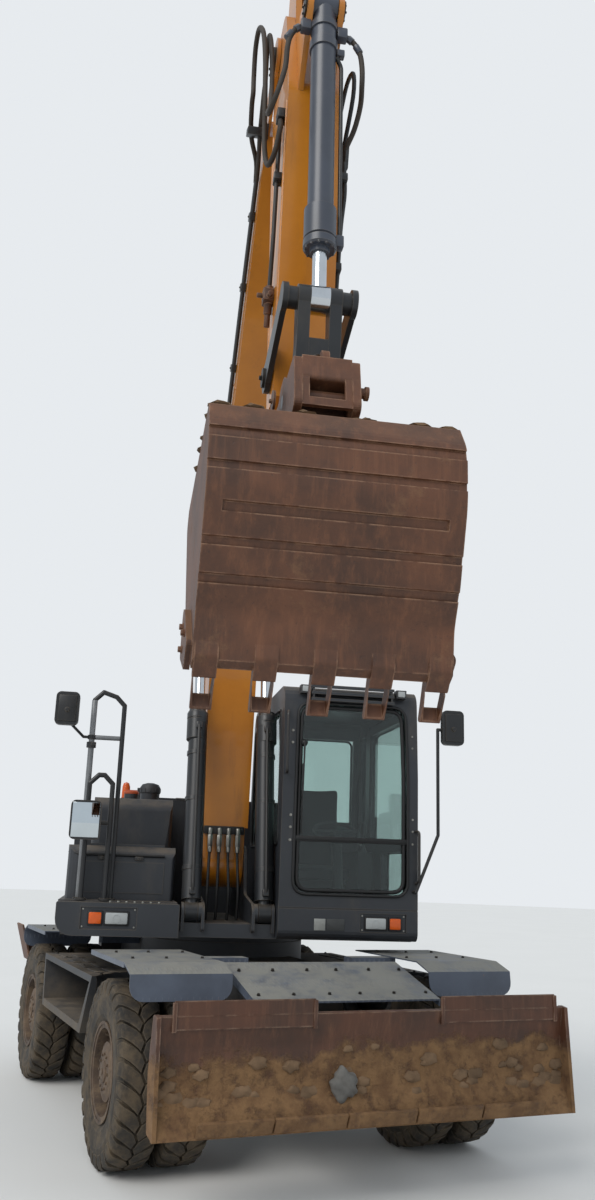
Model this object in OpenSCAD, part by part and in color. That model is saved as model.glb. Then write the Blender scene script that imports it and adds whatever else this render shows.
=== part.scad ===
// Wheeled excavator with twin tyres, a front blade, rear outriggers and a one-piece boom.
// Millimetres. +Z is up, the machine drives towards -Y and its cab is on the +X side.
// The origin is on the ground under the middle of the machine's bounding box.

/* [Layout] */
// Slewing axis, measured along +Y from the origin
axis_y = 1120; // [1000:5:1250]
// Turn of the upper structure as it is parked
slew_rest = -13.2; // [-180:0.1:180]
// Underside of the upper structure
deck_z = 1255; // [1245:5:1290]
// Radius of the counterweight about the slewing axis
tail_radius = 2250; // [2150:10:2400]

/* [Axles and wheels] */
// Distance between the axles
wheelbase = 2715; // [2650:5:2800]
// Middle of the wheelbase, measured along +Y from the slewing axis
wheelbase_y = -163; // [-200:1:-120]
// Outer diameter of a tyre over its lugs
tyre_d = 1050; // [1010:5:1070]
// Section width of a tyre
tyre_w = 268; // [240:2:280]
// Space between the two tyres of a pair
tyre_gap = 44; // [30:2:70]
// Half of the width over the outer tyres
track_half = 1270; // [1240:2:1275]
// Diameter of the rim where the tyre sits
rim_d = 508; // [480:2:520]
// Lugs on each side of a tread
lug_n = 22; // [18:1:26]
// Height of a tread lug
lug_h = 24; // [16:1:30]
// Steering axis, from the middle of the machine
kingpin_x = 590; // [570:1:610]
// Radius of the kingpin
kingpin_r = 32; // [26:1:38]

/* [Chassis] */
// Half width of the main frame
frame_hw = 370; // [340:5:380]
// Underside of the main frame
frame_z0 = 790; // [760:5:820]
// Top of the main frame
frame_z1 = 1090; // [1070:5:1110]
// Front end of the main frame, ahead of the slewing axis
frame_front = 2020; // [1960:5:2060]
// Rear end of the main frame, behind the slewing axis
frame_rear = 1830; // [1800:5:1900]
// Top of the fenders
fender_z = 1180; // [1170:2:1200]
// Thickness of the fender plates
fender_t = 8; // [6:1:12]
// Top of the side steps
step_z = 1020; // [990:5:1040]
// Radius of the slewing ring
ring_r = 610; // [560:5:640]

/* [Blade] */
// Half width of the blade
blade_hw = 1268; // [1200:2:1275]
// Height of the cutting edge over the ground as parked
blade_z0 = 416; // [380:2:440]
// Height of the main plate
blade_h = 566; // [520:2:600]
// Distance of the cutting edge ahead of the slewing axis
blade_front = 2724; // [2700:2:2760]
// Length of the blade's lift arms between pins
blade_arm = 740; // [700:5:760]
// Angle of the lift arms as parked
blade_arm_a = 5; // [0:0.5:8]

/* [Outriggers] */
// Height of an outrigger's pivot
rigger_pivot_z = 560; // [540:5:600]
// Pivot of an outrigger from the middle of the machine
rigger_pivot_x = 520; // [480:5:540]
// Length of an outrigger's leg from the pivot to the foot pin
rigger_leg = 780; // [740:5:800]
// Angle of a leg above level as parked
rigger_a = 38; // [34:0.5:42]
// Angle of a leg below level when it stands on the ground
rigger_down = 35; // [30:0.5:38]

/* [Cab] */
// Inner edge of the cab
cab_x0 = 250; // [245:1:260]
// Outer edge of the cab
cab_x1 = 1254; // [1240:1:1262]
// Front of the cab ahead of the slewing axis
cab_front = 1200; // [1180:5:1230]
// Length of the cab
cab_len = 1720; // [1650:5:1760]
// Top of the cab
cab_top = 3050; // [3000:5:3100]
// Thickness of the cab's walls and door
wall = 55; // [45:1:65]

/* [Arm] */
// Middle plane of the arm from the slewing axis
arm_x = -85; // [-90:1:-65]
// Boom foot pin: distance ahead of the slewing axis and height
boom_foot = [330, 1750];
// Boom length between pins
boom_len = 5700; // [5500:10:5800]
// Angle of the boom's chord above level as parked
boom_rest = 61.7; // [55:0.1:63]
// Width of the boom
boom_w = 370; // [360:2:380]
// Lower pin of the boom cylinders: distance ahead and height
boom_cyl_foot = [1050, 1420];
// Upper pin of the boom cylinders in the boom's frame
boom_cyl_eye = [2126, 1008];
// Distance between the two boom cylinders
boom_cyl_gap = 516; // [510:2:524]
// Lower pin of the stick cylinder in the boom's frame
stick_cyl_foot = [3045, 1425];
// Stick length between pins
stick_len = 2870; // [2800:10:2950]
// Angle of the stick as parked, below level
stick_rest = -83.4; // [-90:0.1:-80]
// Width of the stick
stick_w = 320; // [310:2:330]
// Pin of the stick cylinder in the stick's frame
stick_cyl_eye = [-645, 216];
// Foot pin of the bucket cylinder in the stick's frame
bucket_cyl_foot = [353, 704];
// Distance from the bucket pin back to the rocker's pin
rocker_back = 450; // [430:5:470]
// Length of the rocker between pins
rocker_len = 580; // [570:5:590]
// Length of the link between pins
link_len = 560; // [550:5:570]
// Distance between the two pins of the coupler
coupler_pins = 456; // [450:1:465]
// Angle of the coupler as parked
coupler_rest = 9.5; // [7:0.1:12]
// Width of the bucket
bucket_w = 1124; // [1080:2:1160]
// Thickness of the bucket's plates
bucket_t = 24; // [20:1:34]
// Height of the wear strips on the bucket's back
strip_h = 12; // [8:1:16]
// Number of teeth
tooth_n = 5; // [4:1:6]
// Side play between faces that turn on one pin
play = 3; // [1:0.5:5]

/* [Hidden] */
$fn = 48;

tyre_r = tyre_d / 2;
front_y = wheelbase_y - wheelbase / 2;
rear_y = wheelbase_y + wheelbase / 2;
tyre_out = track_half - tyre_w / 2;
tyre_in = tyre_out - tyre_w - tyre_gap;

function turn(p, a) = [p[0] * cos(a) - p[1] * sin(a), p[0] * sin(a) + p[1] * cos(a)];
function angle(a, b) = atan2(b[1] - a[1], b[0] - a[0]);
function polar(r, a) = [r * cos(a), r * sin(a)];

// Corner b between a and c, rounded with radius r
function round_corner(a, b, c, r, n = 5) =
    let(u = (a - b) / norm(a - b), w = (c - b) / norm(c - b))
    let(half = acos(u * w) / 2, m = (u + w) / norm(u + w))
    let(o = b + m * r / sin(half), s = b + u * r / tan(half), e = b + w * r / tan(half))
    let(a0 = angle(o, s), d = (angle(o, e) - a0 + 540) % 360 - 180)
    [for (i = [0:n]) o + polar(r, a0 + d * i / n)];

// Outline from corners [x, y, radius]
function rounded(p) = [for (i = [0:len(p) - 1])
    let(a = p[(i + len(p) - 1) % len(p)], b = p[i], c = p[(i + 1) % len(p)])
    each (b[2] == 0 ? [[b[0], b[1]]]
        : round_corner([a[0], a[1]], [b[0], b[1]], [c[0], c[1]], b[2]))];

// Third corner of a triangle on a and b with sides ra and rb, left of the line from a to b
function apex(a, b, ra, rb) =
    let(d = norm(b - a), x = (ra * ra - rb * rb + d * d) / (2 * d))
    a + turn([x, sqrt(ra * ra - x * x)], angle(a, b));

// The arm's pins ahead of the slewing axis and above ground, as parked
boom_tip = boom_foot + polar(boom_len, boom_rest);
bucket_pin = boom_tip + polar(stick_len, stick_rest);
coupler_pin = bucket_pin + polar(coupler_pins, coupler_rest);
rocker_pin = [stick_len - rocker_back, 20];
rocker_pin_w = boom_tip + turn(rocker_pin, stick_rest);
link_top = apex(rocker_pin_w, coupler_pin, rocker_len, link_len);
bucket_foot_w = boom_tip + turn(bucket_cyl_foot, stick_rest);
stick_eye_w = boom_tip + turn(stick_cyl_eye, stick_rest);
stick_foot_w = boom_foot + turn(stick_cyl_foot, boom_rest);
boom_eye_w = boom_foot + turn(boom_cyl_eye, boom_rest);

// Blade linkage: parallel arms and links
blade_pivot = [1800, 600];
blade_pin = blade_pivot + polar(blade_arm, blade_arm_a);
blade_link_pivot = blade_pivot + [0, 240];
blade_link_pin = blade_pin + [0, 240];
blade_cyl_foot = [1830, 1010];
blade_cyl_eye = blade_pivot + polar(0.62 * blade_arm, blade_arm_a);

// Outrigger, seen from behind: distance from the middle and height
rigger_pivot = [rigger_pivot_x, rigger_pivot_z];
rigger_foot = rigger_pivot + polar(rigger_leg, rigger_a);
rigger_y = frame_rear + 150;
rigger_cyl_foot = [240, 1010];
rigger_cyl_eye = rigger_pivot + turn([380, 70], rigger_a);

paint = "#25282c";
chassis_paint = "#2b2e33";
slate = "#4c5563";
rust = "#6b4430";
orange = "#a8641c";
chrome = "#d5d8da";
rubber = "#2a2825";
glass = [0.2, 0.28, 0.28, 0.5];

module on_chassis() translate([0, axis_y, 0]) children();
module on_house() translate([0, axis_y, 0]) rotate(slew_rest) children();
// Frame of an arm member whose pin is at p and whose length runs at angle a
module on_arm(p, a) on_house() translate([arm_x, -p[0], p[1]]) rotate([-a, 0, 0]) children();
// Side profile, drawn as [ahead, up], given a width from x0 to x1
module slab(x0, x1) rotate([90, 0, -90]) translate([0, 0, -x1]) linear_extrude(x1 - x0) children();
// The same slab on both sides of the middle
module slabs(x0, x1) {
    slab(x0, x1) children();
    slab(-x1, -x0) children();
}
// Round bar along X through the point [ahead, up]
module bar(p, r, x0, x1) translate([x0, -p[0], p[1]]) rotate([0, 90, 0]) cylinder(h = x1 - x0, r = r);
// Box from corner a to corner b
module box(a, b) translate([min(a[0], b[0]), min(a[1], b[1]), min(a[2], b[2])])
    cube([abs(b[0] - a[0]), abs(b[1] - a[1]), abs(b[2] - a[2])]);
// Round tube between two points
module tube(a, b, r) translate(a) rotate([0, acos((b[2] - a[2]) / norm(b - a)),
    atan2(b[1] - a[1], b[0] - a[0])]) cylinder(h = norm(b - a), r = r);
// Bent bar through a list of points
module pipe(p, r) {
    for (i = [1:len(p) - 1]) tube(p[i - 1], p[i], r);
    if (len(p) > 2) for (i = [1:len(p) - 2]) translate(p[i]) sphere(r = r * 1.02);
}
module mirror_x(s) mirror([s < 0 ? 1 : 0, 0, 0]) children();

module chassis_frame() color(chassis_paint) on_chassis() {
    difference() {
        union() {
            slab(-frame_hw, frame_hw) polygon(rounded([[-frame_rear, frame_z0 - 60, 30],
                [-frame_rear, frame_z1, 20], [1700, frame_z1, 20], [1700, frame_z0, 20],
                [1250, frame_z0, 60], [1050, frame_z0 - 40, 60], [-850, frame_z0 - 40, 60]]));
            // Cheeks on both sides of the blade linkage
            slabs(frame_hw - 15, frame_hw) polygon(rounded([[1650, frame_z0 - 80, 0], [1650, frame_z1, 0],
                [frame_front - 60, frame_z1, 40], [frame_front, frame_z0 + 90, 60],
                [1900, frame_z0 + 20, 60], [1880, 560, 60], [1790, 530, 60], [1700, 560, 60]]));
            box([-frame_hw + 5, -1750, frame_z1 - 15], [frame_hw - 5, -1690, frame_z1]);
            // Pedestal under the slewing ring
            translate([0, 0, frame_z0]) cylinder(h = deck_z - 62 - frame_z0, r = ring_r + 20);
            translate([0, 0, deck_z - 62]) cylinder(h = 40, r = ring_r);
            // Brackets that carry the blade
            mirror_x(1) blade_bracket();
            mirror_x(-1) blade_bracket();
            // Cross member that carries the outriggers
            box([-560, frame_rear - 60, 470], [560, frame_rear + 60, frame_z1]);
            for (s = [-1, 1]) mirror_x(s) rigger_bracket();
            box([-180, frame_rear, 480], [180, frame_rear + 240, 1060]);
            // Hangers of the axles
            for (y = [front_y, rear_y]) box([-240, y - 120, 715], [240, y + 120, frame_z0 + 20]);
        }
        // Pin holes of the blade and the outriggers
        bar(blade_pivot, 28, -500, 500);
        bar(blade_link_pivot, 22, -500, 500);
        bar(blade_cyl_foot, 20, -250, 250);
        for (s = [-1, 1]) {
            for (q = [[rigger_pivot, 30], [rigger_cyl_foot, 20]]) translate([s * q[0][0], frame_rear + 59, q[0][1]])
                rotate([-90, 0, 0]) cylinder(h = 200, r = q[1]);
            // Eyes for lashing the machine down
            translate([s * (frame_hw - 40), -frame_front - 65, 980]) rotate([0, 90, 0])
                cylinder(h = 100, r = 30, center = true);
        }
    }
}

module blade_bracket() {
    slab(250, 275) polygon(rounded([[1690, frame_z0 - 60, 0], [1690, 1000, 0], [1780, 1000, 80],
        [1870, 860, 60], [1880, 560, 60], [1790, 530, 60], [1700, 560, 60]]));
    // Ears of the lift cylinder
    for (x = [140, 217]) slab(x, x + 16) polygon(rounded([[1690, 900, 0], [1690, 1075, 0],
        [1875, 1050, 38], [1865, 970, 38], [1790, 970, 38]]));
    // Lashing eye on the front corner
    slab(frame_hw - 27, frame_hw - 1) polygon(rounded([[frame_front - 80, 880, 0],
        [frame_front - 80, 1020, 10], [frame_front + 30, 1040, 40], [frame_front + 120, 1020, 45],
        [frame_front + 120, 940, 45], [frame_front + 60, 900, 40]]));
}

module rigger_bracket() {
    for (y = [60, 215]) translate([0, frame_rear + y + 25, 0]) rotate([90, 0, 0]) linear_extrude(25)
        polygon(rounded([[120, 480, 20], [520, 470, 60], [600, 560, 60], [560, 650, 60],
            [380, 1060, 60], [220, 1070, 30], [120, 900, 20]]));
}

module fenders() color(slate) on_chassis() {
    for (s = [-1, 1]) mirror_x(s) {
        fender(front_y, 1);
        fender(rear_y, -1);
    }
    // Sloping cover over the front of the frame
    slab(-600, 600) polygon([[1760, frame_z1 + 62], [2330, 990], [2330, 1000], [1760, frame_z1 + 72]]);
    for (x = [-600, 592]) slab(x, x + 8)
        polygon([[1760, frame_z1 + 63], [2330, 991], [2330, 960], [1760, frame_z1 + 10]]);
    slabs(330, frame_hw) polygon([[1720, frame_z1], [1765, frame_z1 + 62], [1976, frame_z1 + 2], [1955, frame_z1]]);
}

// Fender over the wheel at y, its round-cornered flap at the front end where dir is 1, else at the rear
module fender(y, dir) {
    translate([0, y, 0]) mirror([0, dir < 0 ? 1 : 0, 0]) intersection() {
        translate([660, 0, 0]) rotate([90, 0, 90]) linear_extrude(610) polygon([
            [470, fender_z - fender_t], [470, fender_z], [-420, fender_z], [-575, 1130], [-592, 985],
            [-584, 985], [-568, 1125], [-416, fender_z - fender_t]]);
        translate([0, 800, 0]) rotate([90, 0, 0]) linear_extrude(1600) polygon(rounded([
            [660, 985, 80], [1270, 985, 80], [1270, fender_z + 50, 0], [660, fender_z + 50, 0]]));
    }
    // Stiffening lip along the outer edge
    translate([0, y, 0]) mirror([0, dir < 0 ? 1 : 0, 0])
        box([1262, -415, fender_z - 30], [1270, 470, fender_z - fender_t + 1]);
    box([frame_hw, y - 60, 1060], [700, y + 60, fender_z - fender_t]);
}

// Step boxes between the wheels: the outer face is a slanted frame round the open compartment
module side_steps() color(chassis_paint) on_chassis() for (s = [-1, 1]) mirror_x(s) difference() {
    step_profile(frame_hw, 1262, 0);
    // Sweep of the steered tyre, narrower towards the top of the tyre
    translate([kingpin_x, front_y, 480]) cylinder(h = 160, r = 884);
    translate([kingpin_x, front_y, 640]) cylinder(h = 345, r1 = 884, r2 = 775);
    translate([kingpin_x, front_y, 984.9]) cylinder(h = 100, r = 775);
    // Lower face rises to the outside
    box([frame_hw + 240, -1200, 480], [1300, 700, 640]);
    // Space of the slewing pedestal
    cylinder(h = 2000, r = ring_r + 22);
    // Open compartment, and a slot into the top plate
    difference() {
        step_profile(820, 1300, 42);
        box([700, -1200, 480], [1300, 700, 690]);
    }
}

// The step's outline seen from the side, shrunk by c, between x0 and x1
module step_profile(x0, x1, c) slab(x0, x1) polygon([[-642 + c, step_z - c], [1090 - 1.5 * c, step_z - c],
    [836 - 1.4 * c, 622 + c], [590, 500 + c], [-590 + c, 500 + c], [-600 + c, 640 + c]]);

module front_axle() color(chassis_paint) on_chassis() translate([0, front_y, tyre_r]) difference() {
    union() {
        axle_housing(kingpin_x - 120, -1);
        // Forked ends that hold the kingpins
        for (s = [-1, 1]) mirror_x(s) {
            for (z = [[95, 130], [-130, -95]]) translate([0, 0, z[0]]) {
                translate([kingpin_x, 0, 0]) cylinder(h = z[1] - z[0], r = 62);
                box([kingpin_x - 150, -62, 0], [kingpin_x, 62, z[1] - z[0]]);
            }
            box([kingpin_x - 160, -62, -130], [kingpin_x - 110, 62, 130]);
        }
        // Centre trunnion
        box([-90, -110, 60], [90, 110, 190]);
    }
    for (s = [-1, 1]) translate([s * kingpin_x, 0, -200]) cylinder(h = 400, r = kingpin_r);
}

module rear_axle() color(chassis_paint) on_chassis() translate([0, rear_y, tyre_r]) {
    axle_housing(kingpin_x - 10, 1);
    for (s = [-1, 1]) mirror_x(s) {
        translate([kingpin_x - 20, 0, 0]) rotate([0, 90, 0]) cylinder(h = 709 - kingpin_x, r = 130);
        translate([kingpin_x - 20, 0, 0]) rotate([0, 90, 0]) cylinder(h = 755 - kingpin_x, r = 60);
        box([150, -100, 60], [230, 100, 190]);
    }
}

// Differential and tapered tubes out to x1, the drive's nose towards -Y or +Y
module axle_housing(x1, dir) {
    rotate([0, 90, 0]) rotate_extrude() polygon(rounded([[0, -x1, 0], [80, -x1, 0], [80, -260, 80],
        [185, -110, 60], [185, 110, 60], [80, 260, 80], [80, x1, 0], [0, x1, 0]]));
    rotate([90 * dir, 0, 0]) cylinder(h = 260, r = 120);
}

module drive_line() color(chassis_paint) on_chassis() {
    box([-150, -230, 560], [150, 190, frame_z0 - 40]);
    tube([0, front_y + 275, tyre_r], [0, -240, 640], 42);
    tube([0, rear_y - 275, tyre_r], [0, 200, 640], 42);
    for (q = [[front_y + 260, tyre_r], [-252, 640], [188, 640], [rear_y - 284, tyre_r]])
        translate([0, q[0], q[1]]) rotate([-90, 0, 0]) cylinder(h = 24, r = 60);
}

module knuckle_left() on_chassis() knuckle(1);
module knuckle_right() on_chassis() knuckle(-1);

// Steering knuckle with its kingpin and hub spindle
module knuckle(s) color(chassis_paint) translate([s * kingpin_x, front_y, tyre_r]) mirror_x(s) {
    translate([0, 0, -92]) cylinder(h = 184, r = 70);
    translate([0, 0, -140]) cylinder(h = 280, r = kingpin_r - 0.3);
    rotate([0, 90, 0]) cylinder(h = 689 - kingpin_x, r = 92);
    rotate([0, 90, 0]) cylinder(h = 735 - kingpin_x, r = 60);
    // Steering arm
    box([-40, 60, -40], [30, 190, -10]);
}

module tyres_front_left() on_chassis() tyres(1, front_y);
module tyres_front_right() on_chassis() tyres(-1, front_y);
module tyres_rear_left() on_chassis() tyres(1, rear_y);
module tyres_rear_right() on_chassis() tyres(-1, rear_y);

// Twin tyres with chevron lugs, each mirrored about its middle
module tyres(s, y) color(rubber) for (x = [tyre_in, tyre_out])
    translate([s * x, y, tyre_r]) mirror_x(s) rotate([0, 90, 0]) for (side = [0, 1]) mirror([0, 0, side])
        difference() {
            union() {
                linear_extrude(tyre_w / 2 - 24, twist = 9, slices = 1) tread();
                translate([0, 0, tyre_w / 2 - 24.5]) linear_extrude(24.5, scale = 0.83)
                    circle(r = tyre_r - lug_h - 16, $fn = 16);
            }
            // Hollow side and bead seat
            translate([0, 0, 94]) linear_extrude(tyre_w / 2 - 93, scale = 1.46)
                circle(r = rim_d / 2 / cos(15), $fn = 12);
            translate([0, 0, -1]) cylinder(h = 96, r = rim_d / 2 / cos(15), $fn = 12);
        }

// Cross section of the tread: lugs between V-shaped grooves
module tread() polygon([for (i = [0:lug_n - 1]) for (q = [[0, tyre_r - lug_h], [0.26, tyre_r], [0.74, tyre_r]])
    polar(q[1], (i + q[0]) * 360 / lug_n)]);

module rims_front_left() on_chassis() rims(1, front_y);
module rims_front_right() on_chassis() rims(-1, front_y);
module rims_rear_left() on_chassis() rims(1, rear_y);
module rims_rear_right() on_chassis() rims(-1, rear_y);

// Twin rims on one hub; the profile is [radius, distance from the middle of the machine]
module rims(s, y) color(rust) translate([0, y, tyre_r]) mirror_x(s) rotate([0, 90, 0]) {
    rotate_extrude() polygon([[0, 742], [60.3, 742], [60.3, 690], [150, 690], [150, 760], [rim_d / 2 - 12, 790],
        [rim_d / 2 - 12, tyre_in - 112], [rim_d / 2 + 24, tyre_in - 119], [rim_d / 2 + 24, tyre_in - 108],
        [rim_d / 2 - 0.3, tyre_in - 98], [rim_d / 2 - 0.3, tyre_out + 98],
        [rim_d / 2 + 24, tyre_out + 108], [rim_d / 2 + 24, tyre_out + 119],
        [rim_d / 2 - 12, tyre_out + 112], [rim_d / 2 - 20, tyre_out + 40], [190, tyre_out + 20],
        [165, tyre_out + 20], [165, tyre_out + 90], [120, tyre_out + 104], [0, tyre_out + 104]]);
}

module blade_arms() color(chassis_paint) on_chassis() for (s = [-1, 1]) mirror_x(s) {
    slab(278, 352) {
        translate(blade_pivot) circle(r = 52);
        translate(blade_pin) circle(r = 52);
        polygon([blade_pivot + [0, -45], blade_pin + [0, -45], blade_pin + [0, 45], blade_pivot + [0, 45]]);
        translate(blade_cyl_eye) circle(r = 52);
    }
    // Pins, and the boss that carries the lift cylinder's rod
    bar(blade_pivot, 28 - 0.3, 250, 370);
    bar(blade_pin, 27 - 0.3, 240, 390);
    bar(blade_cyl_eye, 36, 217.4, 279);
}

module blade() color(rust) on_chassis() {
    // Curved main plate
    slab(-blade_hw, blade_hw) polygon(rounded([[blade_front, blade_z0, 0],
        [blade_front - 95, blade_z0 + 190, 200], [blade_front - 95, blade_z0 + 400, 200],
        [blade_front - 60, blade_z0 + blade_h, 0], [blade_front - 84, blade_z0 + blade_h + 6, 0],
        [blade_front - 123, blade_z0 + 400, 220], [blade_front - 123, blade_z0 + 190, 220],
        [blade_front - 28, blade_z0, 0]]));
    // End plates
    for (s = [-1, 1]) mirror_x(s) slab(blade_hw - 22, blade_hw) polygon(rounded([
        [blade_front + 2, blade_z0, 0], [blade_front - 40, blade_z0 + blade_h, 0],
        [blade_front - 110, blade_z0 + blade_h + 10, 20], [blade_front - 150, blade_z0 + 300, 60],
        [blade_front - 110, blade_z0 + 20, 20]]));
    // Extension plates on the top edge
    box([-1169, -blade_front + 62, blade_z0 + 500], [-378, -blade_front + 76, blade_z0 + 640]);
    box([417, -blade_front + 62, blade_z0 + 500], [1192, -blade_front + 76, blade_z0 + 640]);
    // Back rail and brackets
    for (x = [[-900, -385], [-245, 245], [385, 900]]) slab(x[0], x[1])
        polygon([[blade_front - 115, blade_z0 + 130], [blade_front - 115, blade_z0 + 230],
            [blade_front - 165, blade_z0 + 220], [blade_front - 165, blade_z0 + 140]]);
    for (x = [[240, 275], [355, 390]]) slabs(x[0], x[1]) difference() {
        polygon(rounded([[blade_front - 110, blade_z0 + 120, 0], [blade_front - 110, blade_z0 + 540, 0],
            [blade_pin[0] - 55, blade_z0 + 540, 40], [blade_pin[0] - 60, blade_z0 + 150, 40]]));
        translate(blade_pin) circle(r = 27);
        translate(blade_link_pin) circle(r = 21);
    }
}

module blade_links() color(chassis_paint) on_chassis() for (s = [-1, 1]) mirror_x(s) {
    slab(292, 336) {
        translate(blade_link_pivot) circle(r = 40);
        translate(blade_link_pin) circle(r = 40);
        polygon([blade_link_pivot + [0, -28], blade_link_pin + [0, -28], blade_link_pin + [0, 28],
            blade_link_pivot + [0, 28]]);
    }
    bar(blade_link_pivot, 22 - 0.3, 250, 370);
    bar(blade_link_pin, 21 - 0.3, 240, 390);
}

// Cylinder barrel of radius r along -Y up to len, its foot's eye (width eye_w, radius eye_r) at the
// origin; the pin runs from x0 to x1 with radius pin_r
module barrel(len, r, eye_w, eye_r, pin_r, x0, x1) {
    rotate([90, 0, 0]) difference() {
        union() {
            cylinder(h = eye_r + 20, r = eye_w / 2);
            translate([0, 0, eye_r + 14]) cylinder(h = len - eye_r - 14, r = r);
            translate([0, 0, len - 80]) cylinder(h = 80, r = r + 3);
        }
        translate([0, 0, eye_r + 40]) cylinder(h = len, r = r * 0.66);
    }
    rotate([0, 90, 0]) cylinder(h = eye_w, r = eye_r, center = true);
    translate([x0, 0, 0]) rotate([0, 90, 0]) cylinder(h = x1 - x0, r = pin_r - 0.3);
}

// Piston rod in the same frame: the eye at len, the rod reaching back into the barrel
module piston(len, back, r, eye_w, eye_r) {
    rotate([90, 0, 0]) translate([0, 0, back]) cylinder(h = len - back - eye_r + 12, r = r);
    translate([0, -len, 0]) rotate([0, 90, 0]) cylinder(h = eye_w, r = eye_r, center = true);
}

module blade_cylinders() color(paint) on_chassis() for (x = [-187, 187])
    translate([x, -blade_cyl_foot[0], blade_cyl_foot[1]])
        rotate([-angle(blade_cyl_foot, blade_cyl_eye), 0, 0]) barrel(430, 42, 54, 40, 20, -47, 47);

module blade_rods() color(chrome) on_chassis() for (x = [-187, 187])
    translate([x, -blade_cyl_foot[0], blade_cyl_foot[1]])
        rotate([-angle(blade_cyl_foot, blade_cyl_eye), 0, 0])
            piston(norm(blade_cyl_eye - blade_cyl_foot), 95, 24, 60, 42);

// Frame of an outrigger part seen from behind: x outward, y up
module rigger_frame(s) on_chassis() mirror_x(s) translate([0, rigger_y, 0]) rotate([90, 0, 0]) children();

module outrigger_left() outrigger(1);
module outrigger_right() outrigger(-1);

module outrigger(s) color(rust) rigger_frame(s) {
        for (z = [-57, 37]) translate([0, 0, z]) linear_extrude(20) polygon(rounded([
            rig(-60, -60, 55), rig(-60, 60, 55), rig(380, 145, 60), rig(600, 60, 40), rig(rigger_leg + 40, 40, 30),
            rig(rigger_leg + 40, -50, 30), rig(500, -70, 60)]));
        translate([0, 0, -57]) linear_extrude(114) polygon([for (q = [[70, -58], [520, -70], [740, -54],
            [740, -30], [520, -44], [70, -34]]) rigger_pivot + turn(q, rigger_a)]);
        // Pad, level when the leg is down
        translate([0, 0, -170]) linear_extrude(340) polygon(rounded([for (q = [[-160, -110, 0],
            [160, -110, 0], [160, -95, 0], [-160, -95, 0]]) pad(q)]));
        for (z = [-57, 37]) translate([0, 0, z]) linear_extrude(20) polygon(rounded([for (q = [
            [-130, -96, 0], [-40, 40, 30], [40, 40, 30], [130, -96, 0]]) pad(q)]));
    translate([rigger_pivot[0], rigger_pivot[1], -90]) cylinder(h = 180, r = 30 - 0.3);
}
// Point of the pad from the leg's end, turned with the leg
function pad(q) = let(p = rigger_foot + turn([q[0], q[1]], rigger_a + rigger_down)) [p[0], p[1], q[2]];
function rig(u, v, r) = let(p = rigger_pivot + turn([u, v], rigger_a)) [p[0], p[1], r];

module outrigger_cylinder_left() rigger_barrel(1);
module outrigger_cylinder_right() rigger_barrel(-1);
module outrigger_rod_left() rigger_rod(1);
module outrigger_rod_right() rigger_rod(-1);

module rigger_barrel(s) color(paint) rigger_frame(s) translate([rigger_cyl_foot[0], rigger_cyl_foot[1], 0])
    rotate([0, 90, angle(rigger_cyl_foot, rigger_cyl_eye) + 90]) barrel(460, 46, 60, 44, 20, -90, 90);

module rigger_rod(s) color(chrome) rigger_frame(s) translate([rigger_cyl_foot[0], rigger_cyl_foot[1], 0])
    rotate([0, 90, angle(rigger_cyl_foot, rigger_cyl_eye) + 90])
        piston(norm(rigger_cyl_eye - rigger_cyl_foot), 100, 25, 73, 40);

module deck() color(paint) on_house() {
    difference() {
        union() {
            // Turntable plate with rounded tail
            translate([0, 0, deck_z]) linear_extrude(95) intersection() {
                translate([-1220, -1080]) square([2460, 2720]);
                circle(r = tail_radius - 60, $fn = 96);
            }
            translate([0, 0, deck_z - 22]) cylinder(h = 30, r = ring_r + 10);
            // Front skirt of the right platform
            difference() {
                translate([0, -1075, 0]) rotate([90, 0, 0]) linear_extrude(130) polygon(rounded([
                    [-1255, deck_z, 110], [-430, deck_z, 0], [-430, 1472, 12], [-1255, 1472, 12]]));
                box([-1090, -1300, 1300], [-715, -1193, 1442]);
            }
            box([-1250, -1080, deck_z + 80], [-440, 560, 1480]);
            // Boom bracket
            translate([arm_x, 0, 0]) slabs(165, 186) polygon(rounded([[1118, deck_z + 40, 20],
                [1118, 1440, 60], [1050, 1486, 60], [600, 1538, 60], [510, 1890, 120], [180, 1900, 120],
                [-420, deck_z + 90, 0], [-420, deck_z + 40, 0]]));
            for (s = [-1, 1]) translate([arm_x, 0, 0]) bar(boom_cyl_foot, 66, s > 0 ? 180 : -210, s > 0 ? 210 : -180);
            // Outer ears of the boom cylinders
            translate([arm_x, 0, 0]) slabs(306, 326) {
                translate(boom_cyl_foot) circle(r = 66);
                polygon([[1116, deck_z + 40], [1116, 1420], [984, 1420], [880, deck_z + 40]]);
            }
        }
        // Bore of the boom foot pin and of the boom cylinder pins
        translate([arm_x, 0, 0]) {
            bar(boom_foot, 45, -300, 300);
            bar(boom_cyl_foot, 35, -400, 400);
        }
        // Well ahead of the boom foot
        box([arm_x - 164, -1300, deck_z + 95.5], [arm_x + 164, -700, deck_z + 400]);
    }
}

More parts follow.
